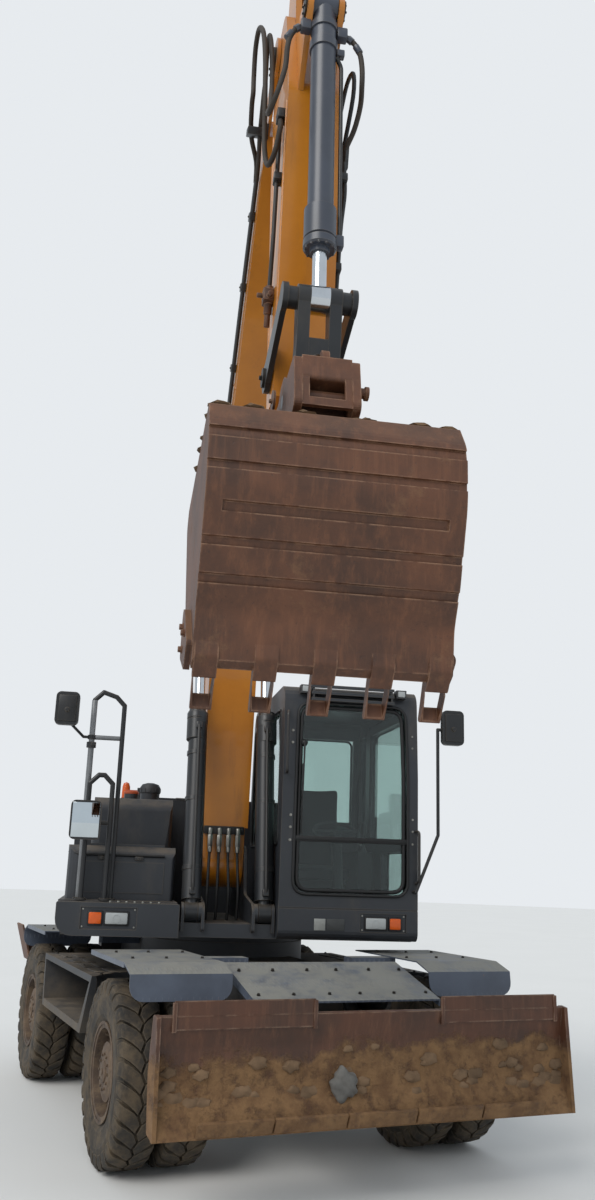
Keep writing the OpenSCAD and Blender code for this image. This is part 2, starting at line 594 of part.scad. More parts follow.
module counterweight() color(paint) on_house() difference() {
    intersection() {
        // Tail curved in plan, cut to the machine's width
        translate([0, 0, deck_z + 10]) linear_extrude(1000) polygon(concat([[-1245, 1640]],
            [for (i = [-12:12]) let(a = i / 12 * asin(1245 / tail_radius)) tail_radius * [sin(a), cos(a)]],
            [[1245, 1640]]));
        slab(-1245, 1245) polygon(rounded([[-1640, deck_z + 10, 0], [-1640, deck_z + 1010, 0],
            [20 - tail_radius, deck_z + 1010, 190], [-20 - tail_radius, deck_z + 560, 0],
            [-tail_radius, deck_z + 120, 90], [170 - tail_radius, deck_z + 10, 0]]));
    }
    // Lifting holes in the top
    for (x = [-700, 700]) translate([x, 1900, deck_z + 910]) cylinder(h = 200, r = 20);
    // Recesses of the rear lamps
    for (s = [-1, 1]) mirror_x(s) box([900, tail_radius - 300, deck_z + 560], [1100, tail_radius, deck_z + 640]);
}

module engine() color("#3a3d40") on_house()
    box([-620, 950, deck_z + 95], [520, 1560, 2020]);

// Front of the engine bay behind the cab
hood_y = cab_len - cab_front + 80;

module hood_frame() color(paint) on_house() {
    // Bulkhead ahead of the engine, corner posts and the fixed parts of the roof
    box([-1240, hood_y, deck_z + 95], [1240, hood_y + 40, 2150]);
    box([lid_x[0], hood_y, 2100], [lid_x[1], hood_y + 40, 2282]);
    for (x = [-1240, 1200]) box([x, 1590, deck_z + 95], [x + 40, 1640, 2150]);
    box([-1240, hood_y + 40, 2110], [lid_x[0] - 10, 1640, 2150]);
    box([lid_x[1] + 10, hood_y + 40, 2110], [1240, 1640, 2150]);
}

// Lid's outer faces across the machine
lid_x = [-560, 750];

module hood_lid() color(paint) on_house() {
    difference() {
        box([lid_x[0], hood_y + 50, 2120], [lid_x[1], 1632, 2300]);
        box([lid_x[0] + 30, hood_y + 80, 2100], [lid_x[1] - 30, 1602, 2270]);
    }
    // Hinges on the bulkhead
    for (x = [-350, 540]) {
        translate([x - 50, hood_y + 40, 2292]) rotate([0, 90, 0]) cylinder(h = 100, r = 10);
        box([x - 50, hood_y + 40, 2292], [x + 50, hood_y + 120, 2304]);
    }
}

module side_door_left() on_house() side_door(1);
module side_door_right() on_house() side_door(-1);

module side_door(s) color(paint) mirror_x(s) {
    difference() {
        box([1205, hood_y + 48, deck_z + 110], [1240, 1582, 2100]);
        // Louvres in two fields
        for (y = [120, 550]) for (i = [0:9]) translate([1240, hood_y + y, 1560 + 46 * i])
            rotate([0, 35, 0]) translate([-14, 0, 0]) cube([30, 350, 16]);
    }
    // Hinges on the rear post
    for (z = [1500, 1900]) {
        translate([1249.2, 1590, z]) cylinder(h = 100, r = 9);
        box([1239, 1540, z], [1249, 1588, z + 100]);
    }
}

module tanks() color(paint) on_house() {
    // Stepped boxes on the right platform, their vertical edges rounded in plan
    intersection() {
        slab(-1220, -462) polygon(rounded([[900, 1480, 0], [900, 1800, 70], [820, 1850, 20], [-560, 1850, 0],
            [-560, 1480, 0]]));
        translate([0, 0, 1400]) linear_extrude(600) polygon(rounded([[-1220, -900, 90], [-462, -900, 30],
            [-462, 560, 0], [-1220, 560, 0]]));
    }
    intersection() {
        slab(-1075, -480) polygon(rounded([[520, 1850, 0], [500, 2150, 80], [420, 2215, 30], [-560, 2215, 0],
            [-560, 1850, 0]]));
        translate([0, 0, 1800]) linear_extrude(600) polygon(rounded([[-1075, -520, 80], [-480, -520, 60],
            [-480, 560, 0], [-1075, 560, 0]]));
    }
    // Raised panels and the ledge of the lower box
    box([-1130, -906, 1530], [-540, -895, 1740]);
    box([-1070, -820, 1849], [-540, -560, 1866]);
    // Filler cap, and the air cleaner's cap on the upper box
    translate([-800, -250, 2214]) cylinder(h = 60, r = 55);
    translate([-640, 260, 2214]) cylinder(h = 90, r = 80);
}

module handrails() color(paint) on_house() {
    r = 17;
    // Tall rail and low loop at the front corner of the right platform: two posts' x, y and top
    for (q = [[-1120, -905, -1000, 2930, 2900], [-1105, -945, -1060, 2330, 2330]]) {
        pipe([[q[0], q[2], 1480], [q[0], q[2], q[3] - 60], [q[0] + 60, q[2], q[3]], [q[1] - 60, q[2], q[4]],
            [q[1], q[2], q[4] - 60], [q[1], q[2], 1480]], r);
        tube([q[0], q[2], q[3] - 330], [q[1], q[2], q[3] - 330], r * 0.8);
        for (x = [q[0], q[1]]) translate([x, q[2], 1480]) cylinder(h = 12, r = 40);
    }
}

module mirrors() color(paint) on_house() {
    // Right mirrors on the tall rail and on the low loop
    mirror_head([-1385, -1160, 2660], [165, 50, 235]);
    pipe([[-1137.3, -1000, 2600], [-1180, -1000, 2600], [-1300, -1130, 2700]], 10);
    mirror_head([-1215, -1180, 1880], [210, 45, 265]);
    pipe([[-1105, -1077.3, 2120], [-1105, -1110, 2120], [-1110, -1150, 2080]], 10);
    // Left mirror on the cab's front corner
    mirror_head([1415, -1290, 2650], [165, 50, 255]);
    pipe([[1225, -1200, 1600], [1225, -1250, 1600], [1385, -1265, 2000], [1385, -1265, 2760],
        [1425, -1265, 2760]], 12);
}

// Mirror case with rounded corners from its lowest corner
module mirror_head(p, size) translate([p[0], p[1] + size[1], p[2]]) rotate([90, 0, 0]) linear_extrude(size[1])
    polygon(rounded([[0, 0, 35], [size[0], 0, 35], [size[0], size[2], 35], [0, size[2], 35]]));

module lamps() color("#d8dade") on_house() {
    // Headlamps and indicators: x from, x to
    for (q = [[-925, -775], [-1035, -950]]) box([q[0], -1208, 1333], [q[1], -1193, 1409]);
    for (q = [[876, 1023], [1050, 1130]]) box([q[0], -cab_front - 4, 1341], [q[1], 14 - cab_front, 1415]);
    // Rear lamps in the counterweight
    for (s = [-1, 1]) mirror_x(s) box([905, tail_radius - 300, deck_z + 565], [1095, tail_radius - 280, deck_z + 635]);
}

module exhaust() color("#17181a") on_house() translate([-680, 1500, 2150]) cylinder(h = 285, r = 45);

// Cab outline seen from the side: [ahead, up]
cab_side = [[cab_front - 112, deck_z + 6, 0], [cab_front, deck_z + 6, 60], [cab_front, 2400, 500], [cab_front - 40, cab_top, 110],
    [cab_front - cab_len + 60, cab_top, 150], [cab_front - cab_len, 2300, 400],
    [cab_front - cab_len, deck_z + 95, 0], [cab_front - 112, deck_z + 95, 0]];

// Windscreen opening through the front
module windscreen() translate([0, 200 - cab_front, 0]) rotate([90, 0, 0]) linear_extrude(300)
    polygon(rounded([[cab_x0 + 95, 1565, 90], [cab_x1 - 75, 1565, 90], [cab_x1 - 90, 2920, 110],
        [cab_x0 + 105, 2920, 110]]));

module cab_shell() color(paint) on_house() {
    difference() {
        slab(cab_x0, cab_x1) polygon(rounded(cab_side));
        // Inside
        slab(cab_x0 + wall, cab_x1 - wall) polygon(rounded([[cab_front - wall, deck_z + 170, 40],
            [cab_front - wall, 2400, 450], [cab_front - 40 - wall, cab_top - wall, 90],
            [cab_front - cab_len + 60 + wall, cab_top - wall, 100], [cab_front - cab_len + wall, 2300, 350],
            [cab_front - cab_len + wall, deck_z + 170, 30]]));
        // Windscreen
        windscreen();
        // Right window, rear window, roof window
        slab(cab_x0 - 20, cab_x0 + wall + 20) polygon(rounded(side_pane));
        box([cab_x0 + 110, cab_len - cab_front - 120, 2050], [cab_x1 - 110, cab_len - cab_front + 60, 2860]);
        box([cab_x0 + 160, -950, cab_top - 100], [cab_x1 - 160, -350, cab_top + 50]);
        // Door opening and rear side window
        slab(cab_x1 - wall - 20, cab_x1 + 20) polygon(rounded(door_outline(0)));
        slab(cab_x1 - wall - 20, cab_x1 + 20) polygon(rounded(quarter_pane));
        // Lamp recess and the joint above the skirt
        box([835, -cab_front - 50, 1320], [1170, -cab_front + 14, 1446]);
        box([cab_x0 - 20, -cab_front - 50, 1468], [cab_x1 + 20, -cab_front + 6, 1476]);
    }
    // Work lamps on the front corners of the roof
    for (x = [cab_x0 + 110, cab_x1 - 170]) box([x, -cab_front - 16, 2985], [x + 75, 60 - cab_front, 3045]);
    // Louvred visor over the windscreen
    for (z = [2945, 2992, 3039]) slab(cab_x0 + 190, cab_x1 - 190)
        polygon([[cab_front - 60, z], [cab_front + 25, z - 12], [cab_front + 25, z + 8], [cab_front - 60, z + 26]]);
    for (x = [cab_x0 + 200, cab_x1 - 212]) slab(x, x + 12)
        polygon([[cab_front - 60, 2945], [cab_front + 18, 2940], [cab_front + 18, 3040], [cab_front - 60, 3056]]);
}

// Door outline shrunk by c on every side
function door_outline(c) = [[1090 - c, deck_z + 130 + c, 60], [1090 - c, 2500, 300], [1010 - c, 2940 - c, 100],
    [-120 + c, 2940 - c, 60], [-120 + c, deck_z + 130 + c, 60]];

// Panes of the door, upper and lower
door_panes = [
    [[1000, 1960, 60], [1000, 2500, 260], [930, 2860, 80], [-50, 2860, 60], [-50, 1960, 60]],
    [[1000, 1440, 60], [1000, 1880, 40], [350, 1880, 40], [350, 1440, 60]]];
// Panes of the right side and behind the door
side_pane = [[1080, 1900, 60], [1040, 2880, 80], [-380, 2880, 80], [-380, 1900, 60]];
quarter_pane = [[-180, 1950, 50], [-180, 2880, 60], [-420, 2880, 60], [-420, 1950, 50]];

module cab_door() color(paint) on_house() {
    difference() {
        slab(cab_x1 - wall, cab_x1 + 12) polygon(rounded(door_outline(8)));
        for (p = door_panes) slab(cab_x1 - wall - 20, cab_x1 + 40) polygon(rounded(p));
    }
    // Hinges on the rear post
    for (z = [1500, 2700]) {
        translate([cab_x1 + 9.3, 124, z]) cylinder(h = 80, r = 9);
        box([cab_x1 + 1, 90, z], [cab_x1 + 12, 124, z + 80]);
    }
}

module cab_glass() color(glass) on_house() {
    intersection() {
        slab(cab_x0, cab_x1) polygon([[cab_front - 26, 1530], [cab_front - 20, 1530], [cab_front - 20, 2450],
            [cab_front - 44, 2945], [cab_front - 50, 2945], [cab_front - 26, 2450]]);
        windscreen();
    }
    slab(cab_x0 + 20, cab_x0 + 26) polygon(rounded(side_pane));
    box([cab_x0 + 110, cab_len - cab_front - 30, 2050], [cab_x1 - 110, cab_len - cab_front - 24, 2860]);
    box([cab_x0 + 160, -950, cab_top - 30], [cab_x1 - 160, -350, cab_top - 24]);
    slab(cab_x1 - 30, cab_x1 - 24) polygon(rounded(quarter_pane));
}

module door_glass() color(glass) on_house() for (p = door_panes)
    slab(cab_x1 - 30, cab_x1 - 24) polygon(rounded(p));

module seat() color("#1c1d20") on_house() {
    y = cab_len - cab_front - 140;
    box([cab_x0 + 260, y - 480, deck_z + 170], [cab_x1 - 260, y - 80, 1650]);
    slab(cab_x0 + 250, cab_x1 - 250) polygon(rounded([[20 - y, 1640, 0], [540 - y, 1640, 0], [540 - y, 1770, 60],
        [160 - y, 1745, 60], [100 - y, 2420, 40], [-y, 2420, 40], [20 - y, 1900, 80]]));
}

module console() color("#1c1d20") on_house() {
    tube([744, -900, deck_z + 185], [744, -760, 2000], 40);
    box([690, -960, deck_z + 170], [798, -840, deck_z + 200]);
    translate([744, -755, 2010]) rotate([25, 0, 0]) rotate_extrude() translate([170, 0]) circle(r = 14);
    translate([744, -755, 2010]) rotate([25, 0, 0]) box([-175, -20, -12], [175, 20, 12]);
    box([cab_x0 + 90, -350, deck_z + 170], [cab_x0 + 240, 300, 1880]);
    box([cab_x1 - 240, -350, deck_z + 170], [cab_x1 - 120, 300, 1880]);
}

// The boom's outline along its chord: [along, above, radius]
boom_outline = [[-120, -100, 60], [60, -150, 40], [1370, 400, 600], [2780, 760, 700], [boom_len - 400, 60, 300],
    [boom_len - 100, -130, 60], [boom_len + 120, -90, 90], [boom_len + 120, 90, 90], [boom_len - 100, 220, 100],
    [boom_len - 350, 385, 200], [2950, 1310, 450],
    [2350, 1310, 450], [1200, 940, 500], [-80, 150, 80]];

module boom() color(orange) on_arm(boom_foot, boom_rest) difference() {
    union() {
        slab(-boom_w / 2, boom_w / 2) polygon(rounded(boom_outline));
        bar([0, 0], 170, -161, 161);
        bar([0, 0], 45 - 0.3, -186, 186);
        bar([boom_len, 0], 150, -boom_w / 2, boom_w / 2);
        // Bosses of the boom cylinders' upper pin
        bar(boom_cyl_eye, 100, 54.4 - boom_cyl_gap / 2, boom_cyl_gap / 2 - 54.4);
        // Ears of the stick cylinder
        slabs(86, 122) polygon(rounded([[2740, 1250, 0], [2940, 1480, 80], [3120, 1500, 80],
            [3330, 1130, 0]]));
    }
    // Foot is narrower than the box
    for (s = [-1, 1]) slab(s > 0 ? 162 : -260, s > 0 ? 260 : -162) difference() {
        polygon([[-300, -300], [330, -300], [330, 400], [-300, 400]]);
        circle(r = 45 - 0.3);
    }
    // Fork at the tip
    bar([boom_len, 0], 430, -stick_w / 2 - play, stick_w / 2 + play);
    bar([boom_len, 0], 42, -300, 300);
    bar(stick_cyl_foot, 36, -200, 200);
}

module boom_cylinders() color(paint) for (x = [-1, 1]) on_arm(boom_cyl_foot, angle(boom_cyl_foot, boom_eye_w))
    translate([x * boom_cyl_gap / 2, 0, 0]) mirror_x(x) barrel(norm(boom_eye_w - boom_cyl_foot) - 1276, 69, 90, 70, 35, -93, 68);

module boom_rods() color(chrome) for (x = [-1, 1]) on_arm(boom_cyl_foot, angle(boom_cyl_foot, boom_eye_w))
    translate([x * boom_cyl_gap / 2, 0, 0]) piston(norm(boom_eye_w - boom_cyl_foot), norm(boom_eye_w - boom_cyl_foot) - 1484, 40, 108, 88);

module stick_cylinder() color(paint) on_arm(stick_foot_w, angle(stick_foot_w, stick_eye_w))
    barrel(norm(stick_eye_w - stick_foot_w) - 1380, 82, 164, 88, 36, -122, 122);

module stick_rod() color(chrome) on_arm(stick_foot_w, angle(stick_foot_w, stick_eye_w))
    piston(norm(stick_eye_w - stick_foot_w), norm(stick_eye_w - stick_foot_w) - 2330, 48, 131, 85);

// The stick's outline: [along, ahead, radius]
stick_outline = [[-60, -150, 100], [900, -190, 300], [stick_len - 170, -105, 60],
    [stick_len + 90, -80, 70], [stick_len + 105, 70, 70], [stick_len - 370, 150, 200], [700, 470, 300], [-120, 300, 150], [-150, -60, 80]];

module stick() color(orange) on_arm(boom_tip, stick_rest) difference() {
    union() {
        difference() {
            slab(-stick_w / 2, stick_w / 2) polygon(rounded(stick_outline));
            // Nose narrower between the coupler's ears
            for (s = [-1, 1]) slab(s > 0 ? 117 : -200, s > 0 ? 200 : -117)
                translate([stick_len - 270, -400]) square([600, 800]);
        }
        bar([0, 0], 150, -stick_w / 2, stick_w / 2);
        bar([stick_len, 0], 105, -117, 117);
        bar(rocker_pin, 85, -161, 161);
        // Pins of the boom, the bucket and the rocker
        bar([0, 0], 42 - 0.3, -boom_w / 2, boom_w / 2);
        bar([stick_len, 0], 36 - 0.3, -160, 160);
        bar(rocker_pin, 34 - 0.3, -195, 195);
        // Ears of the stick cylinder
        slabs(66, 104) polygon(rounded([[-735, 140, 80], [-700, 300, 80], [-500, 330, 80], [60, 330, 0],
            [60, -60, 0], [-130, -60, 0]]));
        // Ears of the bucket cylinder
        slabs(73, 105) polygon(rounded([[120, 300, 0], [230, 740, 80], [400, 800, 80], [760, 430, 0]]));
    }
    bar(bucket_cyl_foot, 30, -200, 200);
}

module bucket_cylinder() color(paint) on_arm(bucket_foot_w, angle(bucket_foot_w, link_top))
    barrel(norm(link_top - bucket_foot_w) - 313, 70, 140, 75, 30, -105, 105);

module bucket_rod() color(chrome) on_arm(bucket_foot_w, angle(bucket_foot_w, link_top))
    piston(norm(link_top - bucket_foot_w), norm(link_top - bucket_foot_w) - 1623, 38, 99, 75);

module rocker() color(paint) on_arm(rocker_pin_w, angle(rocker_pin_w, link_top)) {
    slabs(165, 195) difference() {
        union() {
            circle(r = 85);
            translate([rocker_len, 0]) circle(r = 75);
            polygon([[0, -75], [rocker_len, -62], [rocker_len, 62], [0, 75]]);
        }
        circle(r = 34);
    }
    // Bosses out to the link's eyes
    slabs(114.4, 166) translate([rocker_len, 0]) circle(r = 58);
}

module link() color(paint) on_arm(coupler_pin, angle(coupler_pin, link_top)) difference() {
    union() {
        bar([0, 0], 75, -114, 114);
        bar([0, 0], 34 - 0.3, -160, 160);
        slabs(50, 114) {
            translate([link_len, 0]) circle(r = 72);
            polygon([[0, -70], [300, -72], [link_len, -60], [link_len, 60], [300, 20], [0, 60]]);
        }
        slab(-114, 114) polygon([[60, -74], [330, -70], [330, 20], [60, 30]]);
    }
    // Window through the casting
    translate([0, -200, 0]) cylinder(h = 400, r = 45, center = true);
}

module coupler() color(rust) on_arm(bucket_pin, coupler_rest) difference() {
    union() {
        slabs(120, 160) polygon(rounded([[-90, 100, 90], [90, 100, 60], [360, 60, 60],
            [400, 110, 90], [520, 110, 90], [600, 40, 60], [810, 30, 30], [820, -250, 40], [560, -320, 60],
            [440, -200, 60], [120, -200, 60], [60, -320, 60], [-90, -300, 60]]));
        slab(-121, 121) polygon(rounded([[150, -180, 20], [150, -120, 20], [560, -120, 60], [600, 20, 20],
            [810, 20, 20], [815, -100, 20], [640, -110, 20], [600, -180, 20]]));
        // Front plate with its window, the bar behind it and the lifting eye on top
        difference() {
            slab(-121, 121) polygon([[790, -250], [812, -250], [812, 30], [790, 30]]);
            box([-85, -830, -205], [85, -770, -75]);
        }
        bar([730, -150], 32, -121, 121);
        slab(-18, 18) difference() {
            polygon(rounded([[690, 10, 0], [690, 110, 50], [790, 110, 50], [790, 10, 0]]));
            translate([740, 62]) circle(r = 24);
        }
    }
    bar([0, 0], 36, -200, 200);
    bar([coupler_pins, 0], 34, -200, 200);
}

// Bucket in the coupler's frame: outer outline of the plates and the mouth
bucket_back = [[-120, -350, 0], [985, -425, 40], [1064, -590, 170], [1020, -840, 450], [850, -1170, 300],
    [745, -1310, 200], [690, -1500, 0]];
// Levels between which the wear strips stand, and the lip plate
strips = [[-590, -440], [-743, -640], [-905, -780], [-1038, -946], [-1175, -1072], [-1700, -1210]];
bucket_mouth = [[640, -1520, 0], [60, -1040, 500], [-200, -420, 60]];

module bucket() color(rust) on_arm(bucket_pin, coupler_rest) {
    difference() {
        union() {
            slab(-bucket_w / 2, bucket_w / 2) polygon(rounded(concat(bucket_back, bucket_mouth)));
            // Wear strips across the back
            slab(-bucket_w / 2, bucket_w / 2) intersection() {
                translate([strip_h, 0]) polygon(rounded(concat(bucket_back, bucket_mouth)));
                for (q = strips) translate([600, q[0]]) square([600, q[1] - q[0]]);
            }
            for (x = [-bucket_w / 2, bucket_w / 2 - 75]) slab(x, x + 75)
                intersection() {
                    translate([strip_h, 0]) polygon(rounded(concat(bucket_back, bucket_mouth)));
                    translate([600, -950]) square([600, 60]);
                }
        }
        slab(-bucket_w / 2 + bucket_t, bucket_w / 2 - bucket_t) polygon(rounded([
            [-260, -350 - bucket_t, 0], [970, -425 - bucket_t, 30], [1064 - bucket_t, -600, 150],
            [1020 - bucket_t, -835, 420], [850 - bucket_t - 4, -1160, 280], [745 - bucket_t - 3, -1300, 190],
            [690 - bucket_t - 8, -1480, 0], [660 - bucket_t, -1700, 0], [-400, -1700, 0]]));
    }
    // Side cutters bolted along the mouth
    slabs(bucket_w / 2 - 1, bucket_w / 2 + 26) polygon(rounded([[690, -1420, 20], [560, -1500, 20],
        [250, -1330, 40], [330, -1120, 60], [470, -1180, 60]]));
    // Ears that the coupler grips, with their pins
    slabs(60, 90) polygon(rounded([[-60, -365, 0], [-70, -200, 60], [60, -195, 60], [300, -300, 60],
        [520, -195, 60], [660, -195, 60], [740, -422, 0]]));
    for (p = [[0, -245], [590, -245]]) bar(p, 32, -119, 119);
    // Teeth in their adapters along the lip
    for (i = [0:tooth_n - 1]) {
        x = (i / (tooth_n - 1) - 0.5) * (bucket_w - 116);
        slab(x - 50, x + 50) polygon(rounded([[728, -1385, 14], [716, -1490, 30], [640, -1560, 20],
            [600, -1540, 20], [640, -1470, 10], [664, -1385, 10]]));
        intersection() {
            slab(x - 50, x + 50) polygon(rounded([[712, -1475, 20], [520, -1662, 14], [496, -1640, 10],
                [610, -1470, 20]]));
            translate([x, 0, 0]) rotate([0, 0, 0]) linear_extrude(4000, center = true)
                polygon([[-46, -300], [46, -300], [46, -620], [34, -530], [-34, -530], [-46, -620]]);
        }
    }
}

chassis_frame();
fenders();
side_steps();
front_axle();
rear_axle();
drive_line();
knuckle_left();
knuckle_right();
tyres_front_left();
tyres_front_right();
tyres_rear_left();
tyres_rear_right();
rims_front_left();
rims_front_right();
rims_rear_left();
rims_rear_right();
blade_arms();
blade();
blade_links();
blade_cylinders();
blade_rods();
outrigger_left();
outrigger_right();
outrigger_cylinder_left();
outrigger_cylinder_right();
outrigger_rod_left();
outrigger_rod_right();
deck();
counterweight();
engine();
hood_frame();
hood_lid();
side_door_left();
side_door_right();
tanks();
handrails();
mirrors();
lamps();
exhaust();
cab_shell();
cab_glass();
cab_door();
door_glass();
seat();
console();
boom();
boom_cylinders();
boom_rods();
stick_cylinder();
stick_rod();
stick();
bucket_cylinder();
bucket_rod();
rocker();
link();
coupler();
bucket();
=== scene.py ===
"""Dresses the wheeled excavator: paint, rust, dust, tyre treads, hoses, cab fittings and lamps.
Metres, in the row frame: +Z up, the machine drives towards -Y, its cab is on the +X side."""
import math

import bmesh
import bpy
from mathutils import Matrix, Vector


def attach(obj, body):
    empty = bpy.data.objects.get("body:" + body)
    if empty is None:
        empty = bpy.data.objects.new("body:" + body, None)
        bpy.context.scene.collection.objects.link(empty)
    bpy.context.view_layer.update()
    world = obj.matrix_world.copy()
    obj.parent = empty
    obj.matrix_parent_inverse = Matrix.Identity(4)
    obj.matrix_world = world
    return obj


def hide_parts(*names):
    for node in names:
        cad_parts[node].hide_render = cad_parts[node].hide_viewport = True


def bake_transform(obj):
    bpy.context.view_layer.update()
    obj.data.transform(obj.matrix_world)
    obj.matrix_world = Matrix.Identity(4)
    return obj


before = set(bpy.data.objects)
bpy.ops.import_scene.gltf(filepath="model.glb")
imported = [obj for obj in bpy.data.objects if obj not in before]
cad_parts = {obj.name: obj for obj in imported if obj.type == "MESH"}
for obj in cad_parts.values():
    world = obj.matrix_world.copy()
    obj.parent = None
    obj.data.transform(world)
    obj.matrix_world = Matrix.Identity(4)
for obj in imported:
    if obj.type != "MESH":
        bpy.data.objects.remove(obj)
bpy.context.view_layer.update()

# Layout, as in the part's source
AXIS_Y = 1.120
SLEW = -13.2
ARM_X = -0.085
BOOM_FOOT = (0.330, 1.750)
BOOM_LEN = 5.700
BOOM_ANGLE = 61.7
STICK_LEN = 2.870
STICK_ANGLE = -83.4
COUPLER_ANGLE = 9.5
FRONT_Y = -1.5205
REAR_Y = 1.1945
TYRE_R = 0.525
TYRE_IN = 0.824
TYRE_OUT = 1.136
BOOM_CYL_END = 1.470
STICK_CYL_END = 2.150
BUCKET_CYL_END = 1.640
# Side of the machine and axle of each wheel
WHEELS = {"front_left": (1, FRONT_Y), "front_right": (-1, FRONT_Y),
          "rear_left": (1, REAR_Y), "rear_right": (-1, REAR_Y)}

# Faces and tops that the fittings sit on
FENDER_TOP = 1.180
STEP_TOP = 1.020
BLADE_FACE = -2.630
CAB_FRONT = -1.200
CAB_SKIRT = -1.186
PLATFORM_FRONT = -1.193
BOOM_SIDE = 0.185
STICK_SIDE = 0.160

# Places across the machine, and [across, back] on the upper body
BOOM_CYL_X = 0.258
PIPE_X = 0.205
SEAT_X = 0.752
FOOT_HOSES_X = (-0.105, -0.035, 0.035, 0.105)
BEACON_AT = (-0.842, -0.020)
INTAKE_AT = (-0.640, 0.260)
EXHAUST_AT = (-0.680, 1.500)
TALL_POST = (-1.120, -1.000)
# Mirrors: low corner, then width, depth and height
MIRROR_HEADS = [(-1.385, -1.160, 2.660, 0.165, 0.050, 0.235), (-1.215, -1.180, 1.880, 0.210, 0.045, 0.265),
                (1.415, -1.290, 2.650, 0.165, 0.050, 0.255)]
LAMP_HIGH = 0.076
PLATE_BOLT = 0.022

SIDES = (1, -1)
ACROSS = (1, 0, 0)
ALONG = (0, 1, 0)
AHEAD = (0, -1, 0)
UP = (0, 0, 1)

# The photograph's camera
IMAGE_H = 1200
SENSOR_HIGH = 36
FOCAL_PX = 1001.3
CAMERA_AT = (-2.790, -6.823, 1.726)
CAMERA_PITCH = 15.084
CAMERA_YAW = 22.814
CAMERA_ROLL = 1.955


def photo_camera():
    """Camera with the place, turn and lens of the one that took the photograph."""
    pitch, yaw, roll = (math.radians(a) for a in (CAMERA_PITCH, CAMERA_YAW, CAMERA_ROLL))
    forward = Vector((math.sin(yaw) * math.cos(pitch), math.cos(yaw) * math.cos(pitch), math.sin(pitch)))
    level = Vector((math.cos(yaw), -math.sin(yaw), 0))
    above = level.cross(forward)
    right = level * math.cos(roll) + above * math.sin(roll)
    top = above * math.cos(roll) - level * math.sin(roll)
    data = bpy.data.cameras.new("camera")
    data.sensor_fit = "VERTICAL"
    data.sensor_height = SENSOR_HIGH
    data.lens = FOCAL_PX / IMAGE_H * SENSOR_HIGH
    data.clip_end = 300
    camera = bpy.data.objects.new("camera", data)
    turn = Matrix((right, top, -forward)).transposed().to_4x4()
    camera.matrix_world = Matrix.Translation(CAMERA_AT) @ turn
    bpy.context.scene.collection.objects.link(camera)
    bpy.context.scene.camera = camera


def studio():
    """Pale floor that runs into a pale background, a soft sky and one wide sun."""
    scene = bpy.context.scene
    scene.view_settings.view_transform = "Standard"
    world = bpy.data.worlds.new("studio")
    world.use_nodes = True
    scene.world = world
    nodes, links = world.node_tree.nodes, world.node_tree.links
    lit = nodes["Background"]
    lit.inputs["Color"].default_value = (0.80, 0.86, 0.92, 1)
    lit.inputs["Strength"].default_value = 0.80
    seen = nodes.new("ShaderNodeBackground")
    seen.inputs["Color"].default_value = (0.80, 0.83, 0.86, 1)
    path = nodes.new("ShaderNodeLightPath")
    mix = nodes.new("ShaderNodeMixShader")
    shown = nodes.new("ShaderNodeMath")
    shown.operation = "MAXIMUM"
    links.new(path.outputs["Is Camera Ray"], shown.inputs[0])
    links.new(path.outputs["Is Transmission Ray"], shown.inputs[1])
    links.new(shown.outputs[0], mix.inputs[0])
    links.new(lit.outputs[0], mix.inputs[1])
    links.new(seen.outputs[0], mix.inputs[2])
    links.new(mix.outputs[0], nodes["World Output"].inputs["Surface"])

    sun = bpy.data.lights.new("sun", "SUN")
    sun.energy = 1.7
    sun.angle = math.radians(35)
    sun.color = (1.0, 0.97, 0.93)
    lamp = bpy.data.objects.new("sun", sun)
    lamp.rotation_euler = (math.radians(48), 0, math.radians(-58))
    scene.collection.objects.link(lamp)

    bm = bmesh.new()
    bmesh.ops.create_circle(bm, cap_ends=True, segments=96, radius=60)
    floor = mesh_object("floor", bm)
    floor.data.materials.append(floor_finish())


def mesh_object(name, bm):
    """Object of a finished bmesh, at the origin."""
    data = bpy.data.meshes.new(name)
    bm.to_mesh(data)
    bm.free()
    piece = bpy.data.objects.new(name, data)
    bpy.context.scene.collection.objects.link(piece)
    return piece


def turn_x(degrees):
    """Turn about the X axis."""
    return Matrix.Rotation(math.radians(degrees), 4, "X")


HOUSE = Matrix.Translation((0, AXIS_Y, 0)) @ Matrix.Rotation(math.radians(SLEW), 4, "Z")
CHASSIS = Matrix.Translation((0, AXIS_Y, 0))


def arm_frame(pin, angle):
    """Frame of an arm member: X across, Y along it from its pin, Z above it."""
    return HOUSE @ Matrix.Translation((ARM_X, -pin[0], pin[1])) @ turn_x(-angle) @ Matrix.Diagonal((1, -1, 1, 1))


def ahead(pin, length, angle):
    """Point that far from a pin, [ahead, up], at an angle above level."""
    return (pin[0] + length * math.cos(math.radians(angle)), pin[1] + length * math.sin(math.radians(angle)))


BOOM = arm_frame(BOOM_FOOT, BOOM_ANGLE)
TIP = ahead(BOOM_FOOT, BOOM_LEN, BOOM_ANGLE)
STICK = arm_frame(TIP, STICK_ANGLE)
COUPLER = arm_frame(ahead(TIP, STICK_LEN, STICK_ANGLE), COUPLER_ANGLE)
BOOM_CYLINDER = arm_frame((1.050, 1.420), 102.61)
STICK_CYLINDER = arm_frame((0.519, 5.107), 41.25)
BUCKET_CYLINDER = arm_frame((3.772, 6.499), -86.8)


def rounded_path(points, radius, steps=5):
    """The path through the points, its inner corners rounded."""
    points = [Vector(p) for p in points]
    path = [points[0]]
    for a, b, c in zip(points, points[1:], points[2:]):
        reach = min(radius, 0.48 * (b - a).length, 0.48 * (c - b).length)
        start, end = b + (a - b).normalized() * reach, b + (c - b).normalized() * reach
        for i in range(steps + 1):
            t = i / steps
            path.append(start * (1 - t) ** 2 + b * 2 * t * (1 - t) + end * t * t)
    return path + [points[-1]]


